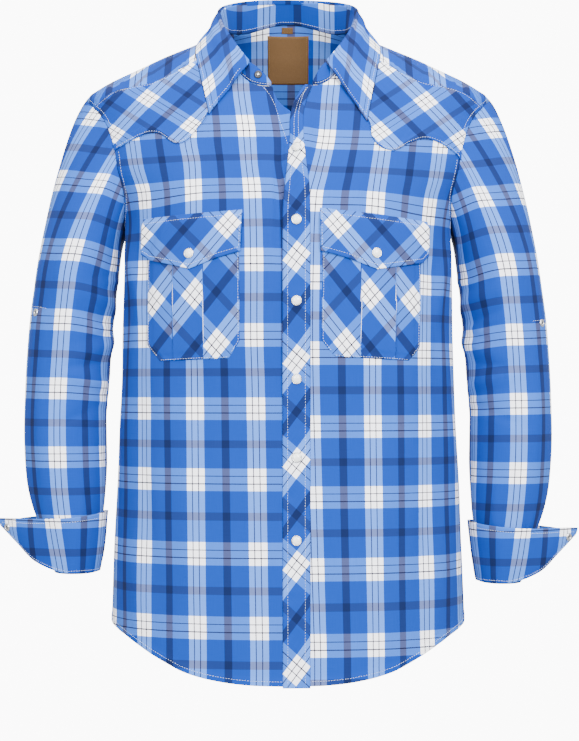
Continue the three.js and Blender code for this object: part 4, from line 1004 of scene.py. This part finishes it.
# Pockets and flaps: corners as x and z, the flap's drop below its side corners, the pleats' x, and a
# crossing of light bands for each third of the bag and for the flap
pockets = {
    -1: {
        "flap": {"innerTop": (50, -202), "outerTop": (161, -209), "outerSide": (162, -249),
                 "innerSide": (52, -248), "crossing": (-65.4, -219.1),
                 "drop": table("at low", [(0, 0), (0.235, 7), (0.505, 18.3), (0.92, 7), (1, 0)])},
        "bag": {"innerTop": (53.5, -214), "outerTop": (156.5, -221), "outerLow": (156, -350),
                "outerFoot": (141.5, -368), "innerFoot": (65, -365), "innerLow": (53, -346)},
        "crossings": {"outer": (-149.9, -301.3), "middle": (-101.8, -294.3), "inner": (-78.4, -349.9)},
        "pleats": (93, 126),
    },
    1: {
        "flap": {"innerTop": (35, -200), "outerTop": (155.5, -212.5), "outerSide": (155.5, -251.5),
                 "innerSide": (35.5, -247.5), "crossing": (53.8, -219),
                 "drop": table("at low", [(0, 0), (0.24, 6.8), (0.517, 18), (0.935, 8.2), (1, 0)])},
        "bag": {"innerTop": (38, -212), "outerTop": (148, -221), "outerLow": (145.5, -353),
                "outerFoot": (133, -367.5), "innerFoot": (51, -363), "innerLow": (37, -345)},
        "crossings": {"outer": (138.5, -302.1), "middle": (89.7, -295.1), "inner": (64.3, -349.4)},
        "pleats": (80, 118),
    },
}
pocketLook = {
    "columns": 116, "rows": 76, "bagLift": 1.0, "flapThickness": 1.0,
    "bagSteps": ((49, 53), (49, 62)), "flapSteps": ((47, 48), (50, 58)),  # to the next crossings
    "bagStitches": {"start": (1.6, 8, 1), "end": (1.6, 8, 1), "bottom": (1.6, 2, 2)},
    "flapStitches": {"start": (2, 6, 3), "end": (2, 6, 3), "bottom": (5, 2, 2), "top": (6, 2, 2)},
    "bagFlat": (0.11, 0.15), "flapFlat": (0.115, 0.075),
}


# Runs along corners joined by straight lines
def alongCorners(corners, t):
    corners = np.array(corners, float)
    run = runOf(corners)
    return [np.interp(t * run[-1], run, corners[:, k]) for k in (0, 1)]


def pocketChart(base, side, crossing, steps):
    x, z = crossing
    warp, weft = steps
    return biasChart(base, crossing, (x + side * warp[0], z + warp[1]), (x - side * weft[0], z + weft[1]))


u, v = np.meshgrid(np.linspace(0, 1, pocketLook["columns"]), np.linspace(0, 1, pocketLook["rows"]))
for side, word in bothSides:
    bag, flap, pleats = (pockets[side][name] for name in ("bag", "flap", "pleats"))
    inner = alongCorners([bag["innerTop"], bag["innerLow"], bag["innerFoot"]], 1 - v)
    outer = alongCorners([bag["outerTop"], bag["outerLow"], bag["outerFoot"]], 1 - v)
    x = lerp(inner[0], outer[0], u)
    base = bodyAtX(side * x, lerp(inner[1], outer[1], u), -1)
    # the part between the pleats lies on top and ends in two folded edges
    between = ease(x - pleats[0] + 0.5) * (1 - ease(x - pleats[1] - 0.5))
    soft = sum(np.exp(-((x - pleat) / 7)**2) * 0.5 for pleat in pleats)
    rise = (between + soft) * (0.35 + 0.65 * np.sin(math.pi * v)**0.4)
    if side < 0:
        base, rise, x = base[:, ::-1], rise[:, ::-1], x[:, ::-1]
    grid = onBody(base, pocketLook["bagLift"], sides=("bottom", "start", "end"), seed=13 + side,
                  height=-0.45, pucker=0.12)
    toSide = np.minimum(reachFrom(grid, "start"), reachFrom(grid, "end"))
    grid = raised(grid, bodyNormal(base), rise * ease(toSide / 6))
    thirds = {name: pocketChart(base, side, crossing, pocketLook["bagSteps"])
              for name, crossing in pockets[side]["crossings"].items()}
    chart = np.where((x < pleats[0])[..., None], thirds["inner"],
                     np.where((x > pleats[1])[..., None], thirds["outer"], thirds["middle"]))
    clothPiece("pocket_bag_" + word, "pocket_" + word, grid, chart, "plaid_bias_trim",
               seamLines(grid, pocketLook["bagStitches"]))

    inner = alongCorners([flap["innerTop"], flap["innerSide"]], 1 - v)
    outer = alongCorners([flap["outerTop"], flap["outerSide"]], 1 - v)
    drop = np.interp(u, flap["drop"]["at"], flap["drop"]["low"]) * (1 - v)
    base = bodyAtX(side * lerp(inner[0], outer[0], u), lerp(inner[1], outer[1], u) - drop, -1)
    base = base if side > 0 else base[:, ::-1]
    grid = onBody(base, 0)
    fromTop = reachFrom(grid, "top")
    toEdge = np.minimum(reachFrom(grid, "bottom"),
                        np.minimum(reachFrom(grid, "start"), reachFrom(grid, "end")))
    lift = 1.2 + 2.6 * ease(fromTop / 9) + 0.5 * np.sin(math.pi * np.clip(fromTop / 48, 0, 1))
    grid = raised(grid, bodyNormal(base), lift - 0.5 * (1 - ease(toEdge / 1.3)))
    clothPiece("flap_" + word, "pocket_flap_" + word, grid,
               pocketChart(base, side, flap["crossing"], pocketLook["flapSteps"]), "plaid_bias_trim",
               seamLines(grid, pocketLook["flapStitches"]), thickness=pocketLook["flapThickness"])
print("placket and pockets done")

# Collar: at runs from 1, the wearer's left point, to -1, the right one
collar = {
    "sections": table("at foldX foldY foldZ edgeX edgeY", [
        (0, 0, 58, 61, 0, 84), (0.17, 38, 51, 59, 43, 76), (0.34, 66, 31, 52, 79, 50),
        (0.5, 79, 4, 40, 100, 12), (0.66, 75, -22, 19, 106, -27), (0.83, 61, -49, -6, 99, -62),
        (1, 43, -71, -32, 88.5, -86.2),
    ]),
    "endsAt": 0.18, "leftPointForward": 3.2, "edgeFrom": -112, "columns": 241, "rows": 60,
    "stretch": 1.036, "bandUp": 5, "chartRow": 20, "thickness": 1.2,
    "stitches": {"bottom": (4.5, 4, 4), "start": (4.5, 4, 22), "end": (4.5, 4, 22)},
    "flat": (0.47, 0.085),
}


def collarParts(at):
    side = np.where(at < 0, -1, 1)
    row = rowAt(collar["sections"], "at", np.abs(at))
    forward = np.where(at > 0.5, collar["leftPointForward"] * ((at - 0.5) / 0.5)**2, 0)
    fold = vec(side * row["foldX"], row["foldY"], row["foldZ"])
    low = vec(side * row["edgeX"], row["edgeY"] - forward, collar["edgeFrom"])
    high = low.copy()
    high[..., 2] = bodyRows["z"][0]
    return fold, clothPoint(throwOut(low, high), 2.2)


def neckOf(at):
    point = neckPoint(1, lerp(1, collar["endsAt"], np.abs(at)))
    return point * vec(np.where(at < 0, -1, 1), 1, 1)


at = np.linspace(1, -1, collar["columns"])
fold, edge = collarParts(at)
up = unit(fold - neckOf(at))
away = unit(vec(fold[..., 0], fold[..., 1] - 6, 0))


def risen(share, out, lift):
    return fold + (edge - fold) * share + away * out + up * lift


def lying(share, lift):
    point = risen(share, 0, 0)
    onTop = throwOut(vec(point[..., 0] * 0.6, 20, -120), point)
    clear = clothPoint(onTop, 1.4 + lift)
    under = (bodyExcess(point) < 0) | (np.linalg.norm(point - onTop, axis=-1) < 2 + lift)
    return np.where(under[..., None], clear, point)


middle = lying(0.5, 2.4)
quarter = lerp(risen(0.22, 3.2, 0), middle, 0.12)
sections = np.stack([risen(0, -1.4, -3), risen(0, -0.9, 2.3), risen(0, 1.8, 1.6), risen(0.03, 3.4, -1),
                     quarter, middle, lying(0.78, 1.6), edge])
grid = facingBack(through(sections, collar["rows"])[::-1])
fromEdge = reachFrom(grid, "bottom")
wave = 0.5 * np.sin(reachFrom(grid, "start") / 21) * np.sin(fromEdge / 15 + 0.6)
toSide = np.minimum(reachFrom(grid, "start"), reachFrom(grid, "end"))
edgeDown = -0.6 * (1 - ease(np.minimum(fromEdge, toSide) / 1.4))
grid = raised(grid, gridNormals(grid), wave + edgeDown)
along = alongRow(grid, collar["chartRow"])
along = along - along[:, [collar["columns"] // 2]]
chart = np.stack([along * collar["stretch"] + warpRepeat / 2,
                  reachFrom(grid, "bottom") - collar["bandUp"]], -1)
clothPiece("collar_leaf", "collar_fall", grid, chart, "plaid_cotton",
           seamLines(grid, collar["stitches"]), thickness=collar["thickness"])

# Collar band, whose ends run past the collar
band = {
    "columns": 260, "rows": 24, "endLength": 0.14, "thickness": 1.2,
    "navyPlace": 11.9, "stretch": 0.86, "bandDown": 41,  # the plaid on the band
    "stitches": {"bottom": (2, 2, 2)}, "insideStitchRow": 3, "flat": (0.44, 0.033),
}
at = np.linspace(1 + band["endLength"], -1 - band["endLength"], band["columns"])
past = np.clip(np.abs(at) - 1, 0, None) / band["endLength"]
isPast = (past > 0)[:, None]
inside = np.clip(at, -1, 1)
endAt = np.where(at < 0, 0.012, leftFrontNeck + 0.008)
sign = vec(np.where(at < 0, -1, 1), 1, 1)
foot = np.where(isPast, neckPoint(1, lerp(collar["endsAt"], endAt, past)) * sign, neckOf(inside))
fold, _ = collarParts(inside)
up = fold - neckOf(inside)
low = clothPoint(foot, 0.3) + unit(up) * 0.7
high = np.where(isPast, low + up * (1 - 0.82 * past * past)[:, None], fold - unit(up) * 0.6)
share = np.linspace(0, 1, band["rows"])[:, None, None]
grid = facingBack(low[None] * (1 - share) + high[None] * share)
middleRow = band["rows"] // 2
along = alongRow(grid, middleRow)
navyColumn = int(np.argmin(np.abs(grid[middleRow, :, 0] - band["navyPlace"])))
along = (along - along[:, [navyColumn]]) * band["stretch"] + warpRepeat / 2
chart = np.stack([along, reachFrom(grid, "bottom") + band["bandDown"]], -1)
normals = gridNormals(grid)
insideLine = np.concatenate([grid - normals * 1.25, -normals], 2)[band["insideStitchRow"]]
clothPiece("collar_stand", "collar_band", grid, chart, "plaid_cotton",
           seamLines(grid, band["stitches"]) + [insideLine],
           thickness=band["thickness"])
print("collar done")

# Sleeves, with folds and creases as: angle round the sleeve, height, half sizes, slope and rise
sleeve = {
    "rings": table("z outer inner y depth", [
        (-272, 292, 197, -2, 69), (-320, 298, 202.5, -4, 66), (-366, 301.5, 205.5, -7, 63),
        (-412, 303, 209, -10, 60), (-458, 303, 209.5, -13, 57), (-504, 299.5, 210, -16, 53),
        (-530, 294, 211.5, -17, 51), (-550, 287, 214, -18, 49), (-580, 276, 216.5, -18, 46),
        (-608, 268, 219, -18, 44),
    ]),
    "power": 2.15, "leftDrop": 11, "dropFrom": -440, "end": -608, "capTop": -272,
    "columns": 121, "rows": 130, "capRows": 55, "seamAngle": math.pi * 1.06,
    "frontAngle": 86 * degrees,  # where the plaid's middle runs down the front
    "capStretch": 0.95,
    "bands": {-1: (-398.3, 77.5), 1: (-415.7, 78.0)},  # height and repeat of the light bands
    # the short stitched line that holds each roll tab
    "tabLines": {-1: [(-292, -304.5), (-282, -306), (-272.5, -308)],
                 1: [(276.5, -322), (285, -321), (293.5, -320)]},
    "flat": (0.40, 0.60),
}
sleeveFolds = [
    (150, -300, 46, 11, -0.25, 3.2), (165, -348, 52, 11, 0.18, 3.4), (140, -392, 44, 10, -0.2, 3),
    (80, -232, 16, 60, 1.2, 3), (260, -330, 50, 12, 0.3, 3.2), (245, -395, 46, 12, -0.2, 3),
    (60, -440, 14, 58, -0.5, 2.6), (285, -470, 14, 60, 0.4, 2.6),
]
sleeveCreases = [
    (128, -318, 30, 5, -0.3, -1.5), (150, -330, 36, 4.5, 0.2, 1.3), (120, -372, 30, 5, 0.1, -1.4),
    (150, -412, 34, 5, -0.15, 1.4), (110, -430, 26, 6, 0.3, -1.2), (165, -276, 34, 5, 0.1, 1.3),
    (100, -290, 9, 34, 0.9, 1.3), (70, -330, 9, 60, -0.4, -1.1), (85, -500, 8, 44, 0.3, 1.1),
    (118, -540, 8, 40, -0.2, 1.2), (62, -560, 7, 36, 0.2, -1.1), (230, -310, 34, 5, 0.2, -1.4),
    (250, -360, 38, 5, -0.2, 1.4), (228, -425, 30, 6, 0.2, -1.3), (300, -250, 10, 50, 0.4, 1.4),
    (40, -300, 8, 60, 0.2, 0.9), (20, -480, 9, 60, -0.2, 1.0), (330, -520, 9, 50, 0.2, 1.2),
    (250, -540, 9, 40, 0.2, 1.3), (205, -480, 18, 26, 0.3, 1.4),
]


def sleeveRing(side, angle, z):
    row = rowAt(sleeve["rings"], "z", z)
    sine, cosine, power = np.sin(angle), np.cos(angle), sleeve["power"]
    scale = (np.abs(sine)**power + np.abs(cosine)**power)**(-1 / power)
    centre = (row["outer"] + row["inner"]) / 2
    half = (row["outer"] - row["inner"]) / 2
    drop = np.clip((z - sleeve["dropFrom"]) / (sleeve["end"] - sleeve["dropFrom"]), 0, 1)
    drop = drop * (sleeve["leftDrop"] if side > 0 else 0)
    return vec(side * (centre + half * scale * cosine), row["y"] - row["depth"] * scale * sine, z - drop)


def sleeveCap(side, angle, t):
    low = (1 - np.cos(angle)) / 2
    start = clothPoint(armholeAt(side, angle), 0) + vec(side * 0.2, 0, 0)
    end = sleeveRing(side, angle, sleeve["capTop"])
    leave = vec(side * lerp(0.65, 0.38, low), 0, -lerp(0.76, 0.92, low)) * lerp(100, 58, low)[..., None]
    arrive = vec(side * 0.15, 0, -1) * lerp(230, 58, low)[..., None]
    t = t[..., None]
    cubic = 2 * t**3 - 3 * t**2
    return start * (cubic + 1) + leave * (t**3 - 2 * t**2 + t) - end * cubic + arrive * (t**3 - t**2)


def sleeveRise(angle, z, folds):
    around = np.mod(angle / degrees, 360)
    rise = np.zeros(np.broadcast(angle, z).shape)
    for centre, height, wide, long, slope, amount in folds:
        aside = (around - centre) / wide
        along = (z - height - slope * (around - centre)) / long
        rise += amount * np.exp(-aside**2 - along**2)
    return rise


for side, word in bothSides:
    turns = np.linspace(0, 2 * math.pi, sleeve["columns"]) * -side + sleeve["seamAngle"]
    capAngle, capShare = np.meshgrid(turns, np.linspace(0, 1, sleeve["capRows"] + 1)[:-1])
    armAngle, z = np.meshgrid(turns, np.linspace(sleeve["capTop"], sleeve["end"], sleeve["rows"]))
    plain = np.concatenate([sleeveCap(side, capAngle, capShare), sleeveRing(side, armAngle, z)])[::-1]
    angles = np.concatenate([capAngle, armAngle])[::-1]
    calm = ease(reachFrom(plain, "top") / 12)
    rise = sleeveRise(angles, plain[..., 2], sleeveFolds) + sleeveRise(angles, plain[..., 2], sleeveCreases)
    rise = rise + 0.5 * restless(plain * np.array([1.6, 1, 1.3]))
    ripple = seamRise(plain, ("top",), height=0, pucker=0.5, seed=21 + side)
    grid = raised(plain, gridNormals(plain, closesRound=True), rise * calm + ripple)
    # across from the line down the middle of the front, down from the charted bands
    run = reachFrom(plain, "start")
    front = np.argmin(np.abs(np.mod(turns, 2 * math.pi) - sleeve["frontAngle"]))
    across = run - run[:, [front]]
    level, repeat = sleeve["bands"][side]
    height = plain[..., 2].copy()
    upRun = reachFrom(plain, "bottom")
    capFrom = sleeve["rows"] - 1
    height[capFrom:] = height[capFrom] + (upRun[capFrom:] - upRun[capFrom]) * sleeve["capStretch"]
    inner = ease(np.abs(across) / 60) * np.where(across * side < 0, 1, -0.3)
    droop = 10 * inner * np.clip((plain[..., 2] + 470) / 220, 0, 1)
    chart = np.stack([across, (height + droop - level) / repeat * weftRepeat], -1)
    tree = gridTree(grid)
    seats = [seat(tree, x, z) for x, z in through(sleeve["tabLines"][side], 14)]
    tabLine = np.array([(*place, *normal) for place, normal in seats])
    clothPiece("sleeve_cloth_" + word, "sleeve_" + word, grid, chart, "plaid_cotton",
               [tabLine])
print("sleeves done")

# Turned-back cuffs: x, y and top of the edge, then the lower edge or the angle where it sits
cuffs = {
    "places": [
        (333, -22, -547, (330, -22, -556)), (313, -40, -546, (309, -38, -575)),
        (290, -56, -546, (286, -52, -595)), (262, -71, -545, 72), (238, -72, -543, 102),
        (219, -56, -541, 136), (208, -32, -539, 165), (208, -4, -539, 195), (219, 22, -541, 224),
        (238, 37, -543, 258), (262, 36, -545, 288), (290, 22, -547, (285, 20, -597)),
        (312, 6, -549, (307, 5, -579)), (326, -8, -552, (323, -8, -563)),
    ],
    "columns": 200, "rows": 44, "offSleeve": 3.0, "bulge": 0.96, "thickness": 1.8,
    "bandAlong": 22, "bandHeight": -543.5,  # where a light band crosses
    "stitches": {"bottom": (3, 3, 3), "top": (5, 5, 5), "start": (4, 3, 6), "end": (4, 3, 6)},
    "flat": (0.34, 0.06),
}


# As through, but without loops where the points stand close
def centripetal(points, count):
    points = np.asarray(points, float)
    last = len(points) - 1
    padded = padEnds(points)
    out = []
    for place in np.linspace(0, last, count):
        i = min(int(place), last - 1)
        t = place - i
        p = padded[i:i + 4]
        gaps = np.maximum(np.linalg.norm(np.diff(p, axis=0), axis=1)**0.5, 1e-4)
        m1 = (p[1] - p[0]) / gaps[0] - (p[2] - p[0]) / (gaps[0] + gaps[1]) + (p[2] - p[1]) / gaps[1]
        m2 = (p[2] - p[1]) / gaps[1] - (p[3] - p[1]) / (gaps[1] + gaps[2]) + (p[3] - p[2]) / gaps[2]
        m1, m2 = m1 * gaps[1], m2 * gaps[1]
        out.append((2 * t**3 - 3 * t**2 + 1) * p[1] + (t**3 - 2 * t**2 + t) * m1
                   + (3 * t**2 - 2 * t**3) * p[2] + (t**3 - t**2) * m2)
    return np.array(out)


def cuffFoot(side, foot, drop):
    if isinstance(foot, tuple):
        return side * foot[0], foot[1], foot[2] - drop
    place, near, far = (sleeveRing(side, np.float64(angle), np.float64(sleeve["end"]))
                        for angle in (foot * degrees, 0, math.pi))
    return tuple(place + unit(place - (near + far) / 2) * cuffs["offSleeve"] + vec(0, 0, 1))


for side, word in bothSides:
    drop = sleeve["leftDrop"] if side > 0 else 0
    top = centripetal([(side * x, y, z - drop) for x, y, z, _ in cuffs["places"]], cuffs["columns"])
    low = centripetal([cuffFoot(side, foot, drop) for *_, foot in cuffs["places"]], cuffs["columns"])
    share = np.linspace(0, 1, cuffs["rows"])[:, None, None]
    grid = low[None] * (1 - share) + top[None] * share
    grid = grid[:, ::-1] if side > 0 else grid
    up = reachFrom(grid, "bottom")
    near = np.minimum(up, reachFrom(grid, "top"))
    along = reachFrom(grid, "start")
    wave = 0.5 * np.sin(along / 19 + side) * np.sin(up / 14) \
        + 0.25 * np.sin(along / 8.5 + 2.1) * np.exp(-((near - 7) / 6)**2)
    grid = raised(grid, gridNormals(grid), cuffs["bulge"] * np.sin(math.pi * share[..., 0]) + wave)
    along = alongRow(grid, cuffs["rows"] // 2)
    along = along[:, -1:] - along if side > 0 else along
    chart = np.stack([along - cuffs["bandAlong"], grid[..., 2] - cuffs["bandHeight"] + drop], -1)
    clothPiece("cuff_cloth_" + word, "cuff_" + word, grid, chart, "plaid_cotton",
               seamLines(grid, cuffs["stitches"]),
               thickness=cuffs["thickness"])
print("cuffs done")

# Snaps. Profiles are radius and height, and each part has its finish and slot
pearl = [(0.01, 2.5), (1.5, 2.42), (3.0, 2.1), (4.2, 1.5), (4.75, 0.95), (4.8, 0.4)]
rim = [(4.55, 0.7), (4.7, 1.12), (5.1, 1.3), (5.6, 1.05), (5.85, 0.5), (5.8, 0), (0.01, 0)]
ring = [(1.7, 0.5), (1.85, 1.1), (2.5, 1.6), (3.4, 1.65), (4.2, 1.2), (4.6, 0.5), (4.5, 0)]
well = [(0.01, 0.35), (1.75, 0.3), (1.8, 0.9)]
stud = [(0.01, 1.9), (1.2, 1.85), (1.7, 1.4), (1.75, 0.6)]
pearlSnap = [("_pearl", pearl, "pearl", "pearl_cap"), ("_rim", rim, "steel", "snap_steel")]
# The wells of the ring snaps and the neck stud's ring are steel darkened as painted shade
ringSnap = [("_ring", ring, "steel", "snap_steel"), ("_well", well, "steelWithPaintedShade", "snap_steel")]
neckStud = [("_ring", ring, "steelWithPaintedShade", "snap_steel"), ("_stud", stud, "steel", "snap_steel")]
placketSnaps = [(9.5, -132), (9.4, -213), (9.4, -302), (9.4, -388), (9.4, -474), (9.4, -565)]
# Name, node it replaces, cloth it sits on, x, z and parts
snaps = [(f"front_snap_{i + 1}", f"placket_snap_{i + 1}", "placket_strip", x, z, pearlSnap)
         for i, (x, z) in enumerate(placketSnaps)] + [
    ("pocket_snap_right", "flap_snap_right", "flap_right", -109, -249.5, pearlSnap),
    ("pocket_snap_left", "flap_snap_left", "flap_left", 97.5, -249.5, pearlSnap),
    ("roll_tab_snap_right", "tab_snap_right", "sleeve_cloth_right", -286, -312, ringSnap),
    ("roll_tab_snap_left", "tab_snap_left", "sleeve_cloth_left", 288, -324, ringSnap),
    ("cuff_end_snap_right", "cuff_snap_right", "cuff_cloth_right", -321, -557, ringSnap),
    ("cuff_end_snap_left", "cuff_snap_left", "cuff_cloth_left", 321, -568, ringSnap),
    ("neck_stud", "neck_snap", "collar_stand", -33.5, -46, neckStud),
]


def lathe(name, profile, finish, segments=40):
    angles = np.arange(segments) / segments * 2 * math.pi
    vertices = [(r * math.cos(angle) * mm, r * math.sin(angle) * mm, h * mm)
                for r, h in profile for angle in angles]
    faces = []
    for low in range(0, (len(profile) - 1) * segments, segments):
        high = low + segments
        for j in range(segments):
            k = (j + 1) % segments
            faces.append((low + j, low + k, high + k, high + j))
    return addPiece(name, vertices, faces, finish)


for name, node, cloth, x, z, parts in snaps:
    place, normal = seat(gridTree(built[cloth]), x, z)
    for k, (suffix, profile, finish, slot) in enumerate(parts):
        piece = lathe(name + suffix, profile, finish)
        piece.rotation_mode = "QUATERNION"
        piece.rotation_quaternion = normal.to_track_quat("Z", "Y")
        piece.location = place * mm
        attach(piece, "root")
        if k == 0:
            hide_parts(node)
print("snaps done")

# Bare label patch and size tab inside the back yoke
patches = {
    "label_patch": {"node": "neck_label", "halfWidth": 24.5, "centre": 0, "low": -31, "high": 23.5,
                    "count": 24, "lift": 1.2, "flat": (0.05, 0.06)},
    "size_patch": {"node": "size_tab", "halfWidth": 6.7, "centre": -1, "low": 26.5, "high": 33.5,
                   "count": 8, "lift": 1.0, "flat": (0.0136, 0.0105)},
}
patchThickness = 0.9
patchSewing = {"finish": "tanThread", "pitch": 2.4, "size": 0.9}
yokeTree = gridTree(built["shoulder_yoke"])
for name, patch in patches.items():
    count = patch["count"]
    u, v = np.meshgrid(np.linspace(-1, 1, count), np.linspace(0, 1, count))
    points = []
    for a, b in zip(u.ravel(), v.ravel()):
        height = lerp(patch["low"], patch["high"], b)
        place, _ = seat(yokeTree, patch["centre"] + a * patch["halfWidth"], height, fromY=0)
        points.append((place.x, place.y - patch["lift"], place.z))
    grid = np.array(points).reshape(count, count, 3)
    chart = np.stack([u * patch["halfWidth"], v * (patch["high"] - patch["low"])], -1)
    forward = np.broadcast_to([0, -1.0, 0], grid.shape)
    lines = [insetLine(grid, side, 2.2, (2, 2), forward) for side in ("bottom", "top", "start", "end")]
    clothPiece(name, patch["node"], grid, chart, "brown_patch",
               lines, thickness=patchThickness, sewing=patchSewing)
print("labels done")

# Stage, light and camera. The backdrop glows white
backdrop = addPiece("backdrop", [(-9, 7, -7), (9, 7, -7), (9, 7, 7), (-9, 7, 7)], [(0, 1, 2, 3)], "backdrop")
glow = finishes["backdrop"].node_tree.nodes["Principled BSDF"]
glow.inputs["Emission Color"].default_value = (1, 1, 1, 1)
glow.inputs["Emission Strength"].default_value = 9
backdrop.visible_diffuse = False
backdrop.visible_glossy = False
backdrop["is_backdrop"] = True

# Place, what it aims at, width and height, and power
lights = {
    "key": ((1.3, -2.65, 1.0), (0, 0, -0.35), (1.5, 1.5), 215),
    "fill": ((-1.2, -2.9, 0.3), (0, 0, -0.35), (1.5, 1.5), 130),
    "top": ((0, -0.6, 2.4), (0, 0, -0.3), (1.6, 1.6), 90),
    "behind": ((0, 2.8, 0.9), (0, 0, -0.3), (1.0, 1.6), 190),
}
for name, (place, target, size, power) in lights.items():
    light = bpy.data.lights.new(name, "AREA")
    light.shape = "RECTANGLE"
    light.size, light.size_y = size
    light.energy = power
    lamp = bpy.data.objects.new(name, light)
    lamp.location = place
    lamp.rotation_euler = (Vector(target) - Vector(place)).to_track_quat("-Z", "Y").to_euler()
    bpy.context.scene.collection.objects.link(lamp)
    lamp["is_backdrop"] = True

world = bpy.data.worlds.new("studio")
world.use_nodes = True
world.node_tree.nodes["Background"].inputs["Color"].default_value = (1, 1, 1, 1)
world.node_tree.nodes["Background"].inputs["Strength"].default_value = 1.1
bpy.context.scene.world = world

# The photo is 579 px wide, a pixel is 1.16 mm at the middle of the shirt, seen from 2.3 m
photoWidth, pixel, distance, raisedPixels = 579, 1.16, 2300, 19.5
lens = bpy.data.cameras.new("camera")
lens.sensor_fit = "HORIZONTAL"
lens.sensor_width = 36
lens.lens = lens.sensor_width * distance / (photoWidth * pixel)
lens.shift_y = raisedPixels / photoWidth
camera = bpy.data.objects.new("camera", lens)
camera.location = (0.0017, -distance * mm, -0.4)
camera.rotation_euler = (math.pi / 2, 0, 0)
bpy.context.scene.collection.objects.link(camera)
bpy.context.scene.camera = camera
print("stage done")

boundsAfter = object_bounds()
plain = [[list(map(float, corner)) for corner in pair] for pair in (boundsBefore, boundsAfter)]
